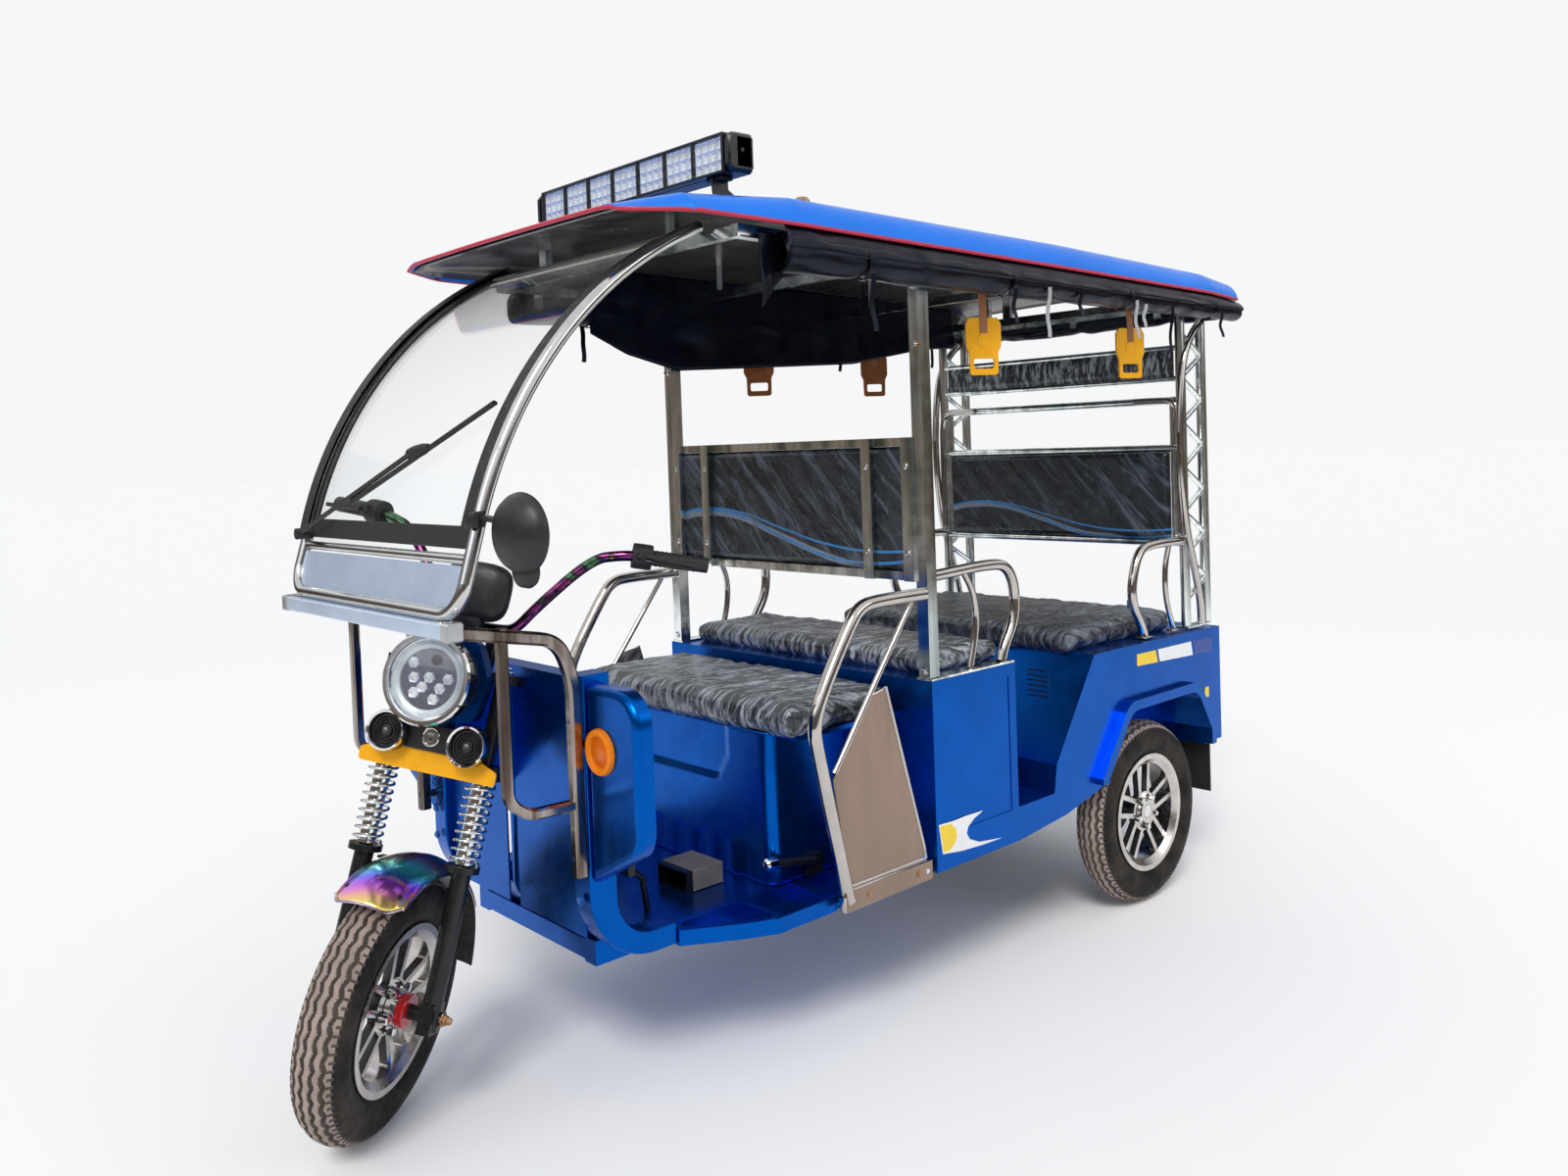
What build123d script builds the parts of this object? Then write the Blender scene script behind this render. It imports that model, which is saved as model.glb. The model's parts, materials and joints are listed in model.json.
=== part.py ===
from build123d import *
import math
import os

os.makedirs("parts", exist_ok=True)

# Electric passenger rickshaw. Millimetres, +Z up, X across with + on the vehicle's left, front toward -Y.
# It is laid out from the rear axle (Y = 0, ground Z = 0) and moved to its footprint's middle at the end.

# Running gear
WHEELBASE = 2015
TYRE_R = 248
TYRE_W = 98
RIM_R = 160
RIM_W = 84
AXLE_Z = TYRE_R
RUN_GAP = 0.05
FRONT_AXLE_R = 8
STUB_R = 17

# Steering: rake from the vertical, forward offset of the front axle, and the turn it is parked at
RAKE = 17.0
AXLE_OFFSET = 30
STEER_PARKED = 37.0
LEG_SPREAD = 105
LEG_OFFSET = 36
STEERER_R = 15
HEAD_TUBE_R = 28
CROWN_LOW = 452
CROWN_HIGH = 640
BAR_T = 742

# Body
BODY_HALF = 480
REAR_TRACK = 2 * BODY_HALF - TYRE_W
SHEET = 4
TUBE = 25
POST = 32
FLOOR_Z = 330
SILL_Z = 318
SHIELD_Y = 295 - WHEELBASE
SHIELD_HALF = BODY_HALF - 160
SHIELD_TOP = 872
WING_OUT = BODY_HALF + 4
SEAT_FRONT_Y = -1232
SEAT_BOX_HALF = BODY_HALF - 190
SEAT_TOP_HALF = BODY_HALF - 108
SEAT_BOX_TOP = 672
CUSHION_T = 62
BENCH_Y0 = SEAT_FRONT_Y + 327
BENCH_Y1 = BENCH_Y0 + 305
BENCH_TOP = 752
TUB_TOP = 722
TUB_REAR_Y = 392
WELL_Z = 400

# Canopy
ROOF_T = 5
LAYER_GAP = 0.3
POST_X = BODY_HALF - 24
POST_Y = BENCH_Y0 + 20
ROLL_IN = POST_X + 18
TRUSS_X = BODY_HALF - 38
TRUSS_Y0 = 272
TRUSS_Y1 = 388
ROOF_HALF = BODY_HALF + 50
# each roof station: y, half width, edge height, crown height
ROOF_STATIONS = [
    (SHIELD_Y + 48, ROOF_HALF - 100, 1738, 1752),
    (SHIELD_Y + 160, ROOF_HALF - 18, 1735, 1778),
    (SHIELD_Y + 420, ROOF_HALF, 1728, 1802),
    (-400, ROOF_HALF, 1708, 1788),
    (300, ROOF_HALF, 1690, 1762),
    (470, ROOF_HALF - 10, 1680, 1742),
]
ROOF_SHOULDER = 56
ROOF_SHOULDER_SHARE = 0.8

# Windscreen: side profile is an arc that stands foremost at SCREEN_MID_Z
VISOR_HALF = SHIELD_HALF + 44
VISOR_Z0 = 1008
SCREEN_HALF = VISOR_HALF + 17
SCREEN_R = 860
SCREEN_FACE_Y = SHIELD_Y - 261
SCREEN_MID_Z = 934
SCREEN_CENTRE = (SCREEN_FACE_Y + SCREEN_R, SCREEN_MID_Z)
SCREEN_LOW_Z = 1115
SCREEN_TOP_Y = SHIELD_Y + 283

nodes = {}


def block(x0, x1, y0, y1, z0, z1):
    centre = Location(((x0 + x1) / 2, (y0 + y1) / 2, (z0 + z1) / 2))
    return centre * Box(abs(x1 - x0), abs(y1 - y0), abs(z1 - z0))


def slab_x(points, x0, x1, radius=0, corners=()):
    """A flat outline of (y, z) points carried from x0 to x1; the named corners are rounded."""
    face = make_face(Polyline(*points, close=True))
    if radius:
        rounded = [face.vertices().sort_by_distance((points[i][0], points[i][1], 0))[0] for i in corners]
        face = fillet(rounded, radius)
    return extrude(Plane.YZ.offset(x0) * face, x1 - x0, dir=(1, 0, 0))


def slab_y(points, y0, y1, radius=0, corners=()):
    """A flat outline of (x, z) points carried from y0 to y1."""
    face = make_face(Polyline(*points, close=True))
    if radius:
        rounded = [face.vertices().sort_by_distance((points[i][0], points[i][1], 0))[0] for i in corners]
        face = fillet(rounded, radius)
    plane = Plane(origin=(0, y0, 0), x_dir=(1, 0, 0), z_dir=(0, -1, 0))
    return extrude(plane * face, y1 - y0, dir=(0, 1, 0))


def slab_z(points, z0, z1, radius=0, corners=()):
    """A flat outline of (x, y) points carried from z0 to z1."""
    face = make_face(Polyline(*points, close=True))
    if radius:
        rounded = [face.vertices().sort_by_distance((points[i][0], points[i][1], 0))[0] for i in corners]
        face = fillet(rounded, radius)
    return extrude(Plane.XY.offset(z0) * face, z1 - z0, dir=(0, 0, 1))


def tube(points, size, bend=30, across=(1, 0, 0), round_tube=True):
    """A bar along straight legs with rounded bends; across lies square to the whole route."""
    if len(points) > 2:
        route = FilletPolyline(*points, radius=bend)
    else:
        route = Line(*points)
    section = Circle(size / 2) if round_tube else Rectangle(size, size)
    return sweep(Plane(origin=route @ 0, x_dir=across, z_dir=route % 0) * section, path=route)


def rod(start, end, radius):
    """A round bar between two points."""
    start = Vector(*start)
    span = Vector(*end) - start
    return extrude(Plane(origin=start, z_dir=span) * Circle(radius), span.length)


def both_sides(shape):
    return [shape, mirror(shape, about=Plane.YZ)]


def joined(*shapes):
    total = shapes[0]
    for shape in shapes[1:]:
        total = total + shape
    return total


def pieces(*shapes):
    """Separate solids of one node."""
    solids = []
    for shape in shapes:
        for item in shape if isinstance(shape, (list, tuple)) else [shape]:
            solids.extend(item.solids())
    return Compound(children=solids)


def softened(shape, radius):
    return fillet(shape.edges(), radius)


# Fork frame: x across the fork, y rearward, z up the steering axis. Its origin is level with the front axle.
rake = math.radians(RAKE)
steer = math.radians(STEER_PARKED)
steer_axis = Vector(0, math.sin(rake), math.cos(rake))
fork_rear = Vector(0, math.cos(rake), -math.sin(rake))
fork_x = Vector(1, 0, 0) * math.cos(steer) + fork_rear * math.sin(steer)
# the leaning wheel's lowest point stays on the ground
tyre_tube_r = TYRE_W / 2
lean_drop = (TYRE_R - tyre_tube_r) * math.sqrt(1 - fork_x.Z**2) + tyre_tube_r
fork_y = steer_axis.cross(fork_x)
fork_origin_z = lean_drop + AXLE_OFFSET * fork_y.Z
fork_origin = Vector(0, -WHEELBASE + AXLE_OFFSET * math.cos(rake), fork_origin_z)
fork_plane = Plane(origin=fork_origin, x_dir=fork_x, z_dir=steer_axis)
straight_plane = Plane(origin=fork_origin, x_dir=(1, 0, 0), z_dir=steer_axis)


def wheel_tyre():
    """Tyre turned about X at the origin: round shoulders, a flat bead seat on the rim."""
    half = TYRE_W / 2
    bead = RIM_W / 2 - 6
    inner = RIM_R - 8
    outline = [
        Line((-bead, inner), (bead, inner)),
        Line((bead, inner), (bead, RIM_R + 4)),
        ThreePointArc((bead, RIM_R + 4), (half, RIM_R + 42), (half - 9, TYRE_R - 16)),
        ThreePointArc((half - 9, TYRE_R - 16), (0, TYRE_R), (-half + 9, TYRE_R - 16)),
        ThreePointArc((-half + 9, TYRE_R - 16), (-half, RIM_R + 42), (-bead, RIM_R + 4)),
        Line((-bead, RIM_R + 4), (-bead, inner)),
    ]
    return revolve(make_face(Wire(outline)), Axis.X)


SPOKE_PAIRS = 5
SPOKE_W = 13
SPOKE_D = 17
SPOKE_APART = 15
SPOKE_SPLAY = 5
RIM_WELL = 20
NUT_CIRCLE_R = 42


def wheel_rim(bore_r, hub_r, hub_x0, hub_x1, spoke_x):
    """Rim barrel with lips, five pairs of spokes centred on spoke_x, a bored hub and its wheel nuts."""
    half = RIM_W / 2
    seat = RIM_R - 8 - LAYER_GAP
    well = seat - RIM_WELL
    barrel_points = [
        (-half, RIM_R), (-half + 5, RIM_R), (-half + 5, seat), (half - 5, seat), (half - 5, RIM_R),
        (half, RIM_R),
        (half, seat - 5), (half - 12, well), (-half + 12, well), (-half, seat - 5),
    ]
    wheel = revolve(make_face(Polyline(*barrel_points, close=True)), Axis.X)
    wheel = wheel + rod((hub_x0, 0, 0), (hub_x1, 0, 0), hub_r)
    wheel = wheel + rod((spoke_x - SPOKE_D / 2, 0, 0), (spoke_x + SPOKE_D / 2, 0, 0), NUT_CIRCLE_R + 12)
    for pair in range(SPOKE_PAIRS):
        turn = 360 / SPOKE_PAIRS * pair
        for side in (-1, 1):
            bar = block(
                spoke_x - SPOKE_D / 2, spoke_x + SPOKE_D / 2, -SPOKE_W / 2, SPOKE_W / 2, hub_r - 8,
                well + 3,
            )
            leaned = Location((0, side * SPOKE_APART, 0)) * Rot(X=-side * SPOKE_SPLAY) * bar
            wheel = wheel + Rot(X=turn) * leaned
        nut_turn = turn + 180 / SPOKE_PAIRS
        nut = rod((spoke_x, 0, NUT_CIRCLE_R), (spoke_x + SPOKE_D / 2 + 9, 0, NUT_CIRCLE_R), 8)
        wheel = wheel + Rot(X=nut_turn) * nut
    return wheel - rod((hub_x0 - 1, 0, 0), (hub_x1 + 1, 0, 0), bore_r + RUN_GAP)


# Rear wheels: left one built with its face outward, right one mirrored
REAR_HUB_X0 = -62
REAR_HUB_X1 = 34
left_place = Location((REAR_TRACK / 2, 0, AXLE_Z))
rear_tyre = left_place * wheel_tyre()
rear_rim = left_place * wheel_rim(STUB_R, 30, REAR_HUB_X0, REAR_HUB_X1, 16)
nodes["rear_left_tyre"] = rear_tyre
nodes["rear_left_rim"] = rear_rim
nodes["rear_right_tyre"] = mirror(rear_tyre, about=Plane.YZ)
nodes["rear_right_rim"] = mirror(rear_rim, about=Plane.YZ)

# Front wheel in the fork frame
FRONT_HUB_HALF = 60
front_place = fork_plane.location * Location((0, -AXLE_OFFSET, 0))
nodes["front_tyre"] = front_place * wheel_tyre()
nodes["front_rim"] = front_place * wheel_rim(FRONT_AXLE_R, 30, -FRONT_HUB_HALF, FRONT_HUB_HALF, 10)


def on_fork(shape):
    return fork_plane.location * shape


# Fork legs: black lower legs with axle lugs, bright stanchions above, one axle through both
LEG_R = 19
STANCHION_R = 13
LEG_TOP = 285
legs = []
for side in (-1, 1):
    x = side * LEG_SPREAD
    lower = rod((x, -LEG_OFFSET, -22), (x, -LEG_OFFSET, LEG_TOP), LEG_R)
    lug = block(x - 14, x + 14, -LEG_OFFSET - 22, -LEG_OFFSET + 26, -28, 28)
    stanchion = rod((x, -LEG_OFFSET, LEG_TOP - 5), (x, -LEG_OFFSET, CROWN_LOW), STANCHION_R)
    foot = rod((x, -LEG_OFFSET, LEG_TOP - 12), (x, -LEG_OFFSET, LEG_TOP), 33)
    legs.append(lower + lug + stanchion + foot)
axle_reach = LEG_SPREAD + 32
axle = rod((-axle_reach, -AXLE_OFFSET, 0), (axle_reach, -AXLE_OFFSET, 0), FRONT_AXLE_R)
for side in (-1, 1):
    nut = rod((side * (LEG_SPREAD + 12), -AXLE_OFFSET, 0), (side * (LEG_SPREAD + 24), -AXLE_OFFSET, 0), 13)
    axle = axle + nut
    spacer = rod(
        (side * (FRONT_HUB_HALF + 0.5), -AXLE_OFFSET, 0), (side * (LEG_SPREAD - 12), -AXLE_OFFSET, 0), 14,
    )
    axle = axle + spacer
nodes["fork_legs"] = on_fork(joined(axle, *legs))

# Coil springs around the stanchions, standing on the legs' collars
SPRING_R = 27
SPRING_WIRE = 6
SPRING_PITCH = 16.5
spring_parts = []
for side in (-1, 1):
    low = LEG_TOP + SPRING_WIRE / 2 + LAYER_GAP
    height = CROWN_LOW - LAYER_GAP - SPRING_WIRE / 2 - low
    coil = Helix(
        pitch=SPRING_PITCH, height=height, radius=SPRING_R, center=(side * LEG_SPREAD, -LEG_OFFSET, low),
    )
    wire = Plane(origin=coil @ 0, z_dir=coil % 0) * Circle(SPRING_WIRE / 2)
    spring_parts.append(sweep(wire, path=coil, is_frenet=True))
nodes["fork_springs"] = on_fork(pieces(*spring_parts))

# Crown: two clamp plates on the steerer, which turns in the head tube
CLAMP_T = 26
clamp_outline = [(-142, -62), (142, -62), (142, -12), (45, 30), (-45, 30), (-142, -12)]
low_clamp = slab_z(clamp_outline, CROWN_LOW, CROWN_LOW + CLAMP_T, 10, (0, 1, 2, 3, 4, 5))
top_clamp = slab_z(clamp_outline, CROWN_HIGH, CROWN_HIGH + 18, 10, (0, 1, 2, 3, 4, 5))
crown = low_clamp + top_clamp + rod((0, 0, CROWN_LOW), (0, 0, BAR_T - 14), STEERER_R)
for side in (-1, 1):
    x = side * LEG_SPREAD
    crown = crown + rod((x, -LEG_OFFSET, CROWN_LOW), (x, -LEG_OFFSET, CROWN_HIGH + 10), 16)
    crown = crown + block(side * 34 - 9, side * 34 + 9, 20, 44, CROWN_HIGH + 10, BAR_T - 11 - LAYER_GAP)
    crown = crown + block(side * 34 - 9, side * 34 + 9, -12, 44, CROWN_HIGH, CROWN_HIGH + 18)
nodes["fork_crown"] = on_fork(crown)

# Painted cover in front of the lower clamp, which carries the horns
COVER_HALF = 146
COVER_Y = -68
cover_outline = [
    (-COVER_HALF, 444), (COVER_HALF, 444), (COVER_HALF, 470), (70, 500), (-70, 500), (-COVER_HALF, 470),
]
cover = slab_y(cover_outline, COVER_Y - 4, COVER_Y, 8, (0, 1, 2, 3, 4, 5))
cover = cover + block(-COVER_HALF + 10, COVER_HALF - 10, COVER_Y - 3, -66, 444, 447)
cover_arm = block(-120, 120, COVER_Y - 1, -62 - LAYER_GAP, 455, 474)
nodes["clamp_cover"] = on_fork(cover + cover_arm)

HORN_R = 40
HORN_X = 86
HORN_T = 511
horns = []
for side in (-1, 1):
    x = side * HORN_X
    body = rod((x, COVER_Y - 4 - LAYER_GAP, HORN_T), (x, COVER_Y - 34, HORN_T), HORN_R)
    stem = rod((x, COVER_Y - 30, HORN_T), (x, COVER_Y - 42, HORN_T), HORN_R - 12)
    horns.append(body + stem)
plate = block(-HORN_X, HORN_X, COVER_Y - 14, COVER_Y - 8, 492, 548)
nodes["horns"] = on_fork(joined(*horns, plate))

# Headlight and the cowl that holds it to the clamps
LAMP_R = 90
LAMP_T = 625
LAMP_FACE = -165
lamp = rod((0, LAMP_FACE + 50, LAMP_T), (0, LAMP_FACE, LAMP_T), LAMP_R)
lamp = lamp + rod((0, LAMP_FACE + 70, LAMP_T), (0, LAMP_FACE + 49, LAMP_T), LAMP_R - 14)
nodes["headlight"] = on_fork(lamp)

COWL_Y0 = -62 - LAYER_GAP
COWL_Y1 = LAMP_FACE + 70 + LAYER_GAP
cowl_outline = [(-84, 552), (84, 552), (98, 640), (60, 712), (-60, 712), (-98, 640)]
nodes["headlight_cowl"] = on_fork(slab_y(cowl_outline, COWL_Y1, COWL_Y0, 24, (0, 1, 2, 3, 4, 5)))

# Handlebar: rises from the clamps, then runs out to the grips, swept back
BAR_D = 22
BAR_Y = 32
bar_points = [
    (-424, 112, 953), (-300, 60, 944), (-205, BAR_Y + 8, 925), (-52, BAR_Y, BAR_T),
    (52, BAR_Y, BAR_T), (205, BAR_Y + 8, 925), (300, 60, 944), (424, 112, 953),
]
bar_route = FilletPolyline(*bar_points, radius=34)
bar = sweep(Plane(origin=bar_route @ 0, z_dir=bar_route % 0) * Circle(BAR_D / 2), path=bar_route)
bar_core = sweep(
    Plane(origin=bar_route @ 0, z_dir=bar_route % 0) * Circle(BAR_D / 2 + LAYER_GAP), path=bar_route,
)
nodes["handlebar"] = on_fork(bar)

# Grips, switch housings and levers, one group on each end of the bar
GRIP_R = 16
grips = []
for side in (-1, 1):
    inner = Vector(side * 300, 60, 944)
    outer = Vector(side * 424, 112, 953)
    along = (outer - inner).normalized()
    grip = rod(inner + along * 22, outer + along * 8, GRIP_R)
    housing = rod(inner - along * 18 + along * 2, inner + along * 24, 26)
    lever_root = block(-14, 14, -40, -10, -8, 8)
    lever_place = Plane(origin=inner + along * 8, x_dir=along, z_dir=Vector(0, 0, 1))
    lever_blade = block(0, 118, -46, -34, -5, 3)
    if side < 0:
        lever_blade = block(0, 118, 34, 46, -5, 3)
        lever_root = block(-14, 14, 10, 40, -8, 8)
    lever = lever_place.location * (lever_root + lever_blade)
    grips.append(grip + housing + lever - bar_core)
nodes["grips"] = on_fork(pieces(*grips))

# Instrument pod over the top clamp
pod = block(-74, 74, -58, 12, 752, 872)
pod = softened(pod, 18)
pod = pod + block(-30, 30, -50, -16, CROWN_HIGH + 18 + LAYER_GAP, 760)
nodes["instrument_pod"] = on_fork(pod)

# Front fender: crowned arc over the tyre, with a rubber flap behind
FENDER_R = 286
FENDER_HALF = 67
FENDER_FROM = 50
FENDER_SWEEP = 88
FLAP_SWEEP = 34


def fender_arc(start, sweep_angle, thick, half, drop):
    """Part of a ring about the front axle, start degrees up from dead ahead."""
    top = FENDER_R
    outer = ThreePointArc((-half, top - drop), (0, top), (half, top - drop))
    inner = ThreePointArc((half, top - drop - thick), (0, top - thick), (-half, top - drop - thick))
    ends = [
        Line((half, top - drop), (half, top - drop - thick)),
        Line((-half, top - drop - thick), (-half, top - drop)),
    ]
    face = make_face(Wire([outer, inner] + ends))
    # the profile points rearward; turn it over to the starting angle, then sweep it back over the top
    turned = Rot(X=180 - start) * face
    ring = revolve(turned, Axis.X, -sweep_angle)
    return Location((0, -AXLE_OFFSET, 0)) * ring


fender = fender_arc(FENDER_FROM, FENDER_SWEEP, 3, FENDER_HALF, 22)
for side in (-1, 1):
    brace_out = side * (LEG_SPREAD - LEG_R + 4)
    brace = block(side * (FENDER_HALF - 4), brace_out, -LEG_OFFSET - 12, -LEG_OFFSET + 12, 260, 266)
    fender = fender + brace
for side in (-1, 1):
    fender = fender - rod(
        (side * LEG_SPREAD, -LEG_OFFSET, 240), (side * LEG_SPREAD, -LEG_OFFSET, 275), LEG_R + 0.02,
    )
nodes["front_fender"] = on_fork(fender)
nodes["front_mudflap"] = on_fork(
    fender_arc(FENDER_FROM + FENDER_SWEEP + 0.1, FLAP_SWEEP, 4, FENDER_HALF - 8, 14)
)

# Drive motor: one heavy block ahead of the axle's housing
MOTOR_R = 78
MOTOR_X = 94
MOTOR_Z = AXLE_Z + 4

# Chassis: two rails with a step up over the rear axle, cross members, neck and head tube
LINER_X = REAR_TRACK / 2 - TYRE_W / 2 - 30
LEAF_X = LINER_X - 62
RAIL_X = LEAF_X - 75
RAIL_W = 40
RAIL_H = 50
RAIL_LOW = 272
RAIL_HIGH = 338
rail_outline = [
    (SHIELD_Y + 60, RAIL_LOW), (-560, RAIL_LOW), (-430, RAIL_HIGH), (TUB_REAR_Y - 10, RAIL_HIGH),
    (TUB_REAR_Y - 10, RAIL_HIGH + RAIL_H), (-450, RAIL_HIGH + RAIL_H), (-580, RAIL_LOW + RAIL_H),
    (SHIELD_Y + 60, RAIL_LOW + RAIL_H),
]
chassis = []
for side in (-1, 1):
    chassis.append(slab_x(rail_outline, side * RAIL_X - RAIL_W / 2, side * RAIL_X + RAIL_W / 2))
for y in (SHIELD_Y + 60, SEAT_FRONT_Y - 8, BENCH_Y0 + 5, BENCH_Y1 - 20):
    chassis.append(block(-RAIL_X, RAIL_X, y, y + 40, RAIL_LOW + 5, RAIL_LOW + RAIL_H - 5))
for y in (-330, 330):
    chassis.append(block(-RAIL_X, RAIL_X, y, y + 40, RAIL_HIGH + 5, RAIL_HIGH + RAIL_H - 5))
HEAD_LOW = CROWN_LOW + CLAMP_T + 10
HEAD_HIGH = CROWN_HIGH - 10
head = straight_plane.location * rod((0, 0, HEAD_LOW), (0, 0, HEAD_HIGH), HEAD_TUBE_R)
head_bore = straight_plane.location * rod((0, 0, HEAD_LOW - 5), (0, 0, HEAD_HIGH + 5), STEERER_R + RUN_GAP)
neck_low = fork_origin + steer_axis * (HEAD_LOW + 15)
neck_high = fork_origin + steer_axis * (HEAD_HIGH - 15)
neck_outline = [
    (neck_low.Y, neck_low.Z), (SHIELD_Y + 42, neck_low.Z - 120), (SHIELD_Y + 42, neck_high.Z),
    (neck_high.Y, neck_high.Z),
]
neck = slab_x(neck_outline, -18, 18)
down_tube = tube(
    [(0, SHIELD_Y + 40, 800), (0, SHIELD_Y + 40, 380), (0, SHIELD_Y + 130, RAIL_LOW + 25)], 44, 50,
)
chassis_body = joined(*chassis, head, neck, down_tube) - head_bore
motor_hanger = block(MOTOR_X - 34, MOTOR_X + 34, -330, -290, AXLE_Z + 40, RAIL_HIGH + 20)
motor_way = rod((MOTOR_X, -400, MOTOR_Z), (MOTOR_X, -200, MOTOR_Z), MOTOR_R + LAYER_GAP)
nodes["chassis_frame"] = chassis_body + (motor_hanger - motor_way)

HOUSING_R = 88

# Rear axle: housing tube, round housing, brake back plates and stubs
axle_tube = rod((-LINER_X + 4, 0, AXLE_Z), (LINER_X - 4, 0, AXLE_Z), 29)
housing = rod((38, 0, AXLE_Z), (150, 0, AXLE_Z), HOUSING_R)
rear_axle = axle_tube + housing
for side in (-1, 1):
    plate_in = REAR_TRACK / 2 + REAR_HUB_X0 - 8
    rear_axle = rear_axle + rod((side * (plate_in - 6), 0, AXLE_Z), (side * plate_in, 0, AXLE_Z), 84)
    rear_axle = rear_axle + rod(
        (side * (LINER_X - 22), 0, AXLE_Z), (side * (REAR_TRACK / 2 + REAR_HUB_X1 - 4), 0, AXLE_Z),
        STUB_R,
    )
nodes["rear_axle"] = rear_axle

# Leaf springs above the axle tube, with saddles
leaf_parts = []
for side in (-1, 1):
    x = side * LEAF_X
    stack = []
    for index, reach in enumerate((380, 300, 220, 150)):
        low = AXLE_Z + 60 - 9 * index
        rise = 42 * (reach / 380) ** 2
        arc = ThreePointArc((-reach, low + rise), (0, low), (reach, low + rise))
        stack.append(
            sweep(Plane(origin=arc @ 0, z_dir=arc % 0, x_dir=(0, 0, 1)) * Rectangle(8.9, 45), path=arc)
        )
    upright = [Plane(origin=(x, 0, 0), x_dir=(0, 1, 0), z_dir=(1, 0, 0)).location * s for s in stack]
    saddle = block(x - 30, x + 30, -40, 40, AXLE_Z + 20, AXLE_Z + 72)
    shackle_front = block(x - 26, x + 26, -384, -356, AXLE_Z + 90, RAIL_HIGH + 30)
    shackle_rear = block(x - 26, x + 26, 356, 381, AXLE_Z + 90, RAIL_HIGH + 30)
    hangers = []
    for y0, y1 in ((-384, -356), (356, 381)):
        near = side * (RAIL_X + RAIL_W / 2 + LAYER_GAP)
        hangers.append(block(near, side * (LEAF_X + 26), y0, y1, RAIL_HIGH + 6, RAIL_HIGH + 30))
    axle_hole = rod((x - 40, 0, AXLE_Z), (x + 40, 0, AXLE_Z), 29)
    leaf_parts.append(joined(*upright, saddle, shackle_front, shackle_rear, *hangers) - axle_hole)
nodes["leaf_springs"] = pieces(*leaf_parts)

# Heavy blocks: motor ahead of the axle, battery pack under the driver's seat
motor = rod((MOTOR_X, -320, MOTOR_Z), (MOTOR_X, -60, MOTOR_Z), MOTOR_R)
housing_way = rod((30, 0, AXLE_Z), (MOTOR_X + MOTOR_R + 1, 0, AXLE_Z), HOUSING_R + LAYER_GAP)
nodes["drive_motor"] = motor - housing_way
BATTERY_HALF = SEAT_BOX_HALF - 35
nodes["battery_pack"] = block(
    -BATTERY_HALF, BATTERY_HALF, SEAT_FRONT_Y + 37, BENCH_Y0 - 20, FLOOR_Z + LAYER_GAP, 560,
)

# Floor: one sheet from the shield to the benches, with side steps that are shallow trays
FLOOR_UNDER = RAIL_LOW + RAIL_H + LAYER_GAP
FLOOR_REAR_Y = BENCH_Y1 - 50
FLOOR_HALF = SEAT_BOX_HALF
COLUMN_W = 54
FOOT_Y = SHIELD_Y + 200
FOOT_Z = 300
floor = block(-FLOOR_HALF, FLOOR_HALF, SHIELD_Y + 92, FLOOR_REAR_Y, FLOOR_UNDER, FLOOR_Z)
floor = floor - block(-24, 24, SHIELD_Y, SHIELD_Y + 170, FLOOR_UNDER - 1, FLOOR_Z + 1)
foot_in = SHIELD_HALF - COLUMN_W - LAYER_GAP
for side in (-1, 1):
    foot_way = block(
        side * foot_in, side * SHIELD_HALF, SHIELD_Y, FOOT_Y + LAYER_GAP, FLOOR_UNDER - 1, FLOOR_Z + 1,
    )
    floor = floor - foot_way
STEP_T = 4
STEP_DEPTH = 34
STEP_EDGE_X = BODY_HALF - 52
step_y0 = FOOT_Y + LAYER_GAP
step_y1 = BENCH_Y0 - 1
bend_y = SEAT_FRONT_Y - 178
edge_y = SEAT_FRONT_Y - 110
step_outline = [
    (FLOOR_HALF - 1, step_y0), (SHIELD_HALF + 6, step_y0), (STEP_EDGE_X - 34, bend_y), (STEP_EDGE_X, edge_y),
    (STEP_EDGE_X, step_y1), (FLOOR_HALF - 1, step_y1),
]
step_inner = [
    (FLOOR_HALF + 8, step_y0 + 24), (SHIELD_HALF + 4, step_y0 + 24), (STEP_EDGE_X - 46, bend_y + 6),
    (STEP_EDGE_X - 13, edge_y + 8), (STEP_EDGE_X - 13, step_y1 - 14), (FLOOR_HALF + 8, step_y1 - 14),
]
step = slab_z(step_outline, FLOOR_Z - STEP_DEPTH, FLOOR_Z - 2, 30, (2, 3))
step = step - slab_z(step_inner, FLOOR_Z - STEP_DEPTH + STEP_T, FLOOR_Z, 24, (2, 3))
for y in (SEAT_FRONT_Y - 98, SEAT_FRONT_Y + 52):
    step = step + block(FLOOR_HALF + 6, STEP_EDGE_X - 12, y, y + 12, FLOOR_Z - STEP_DEPTH, FLOOR_Z - 6)
nodes["floor_pan"] = joined(floor, *both_sides(step))

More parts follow.
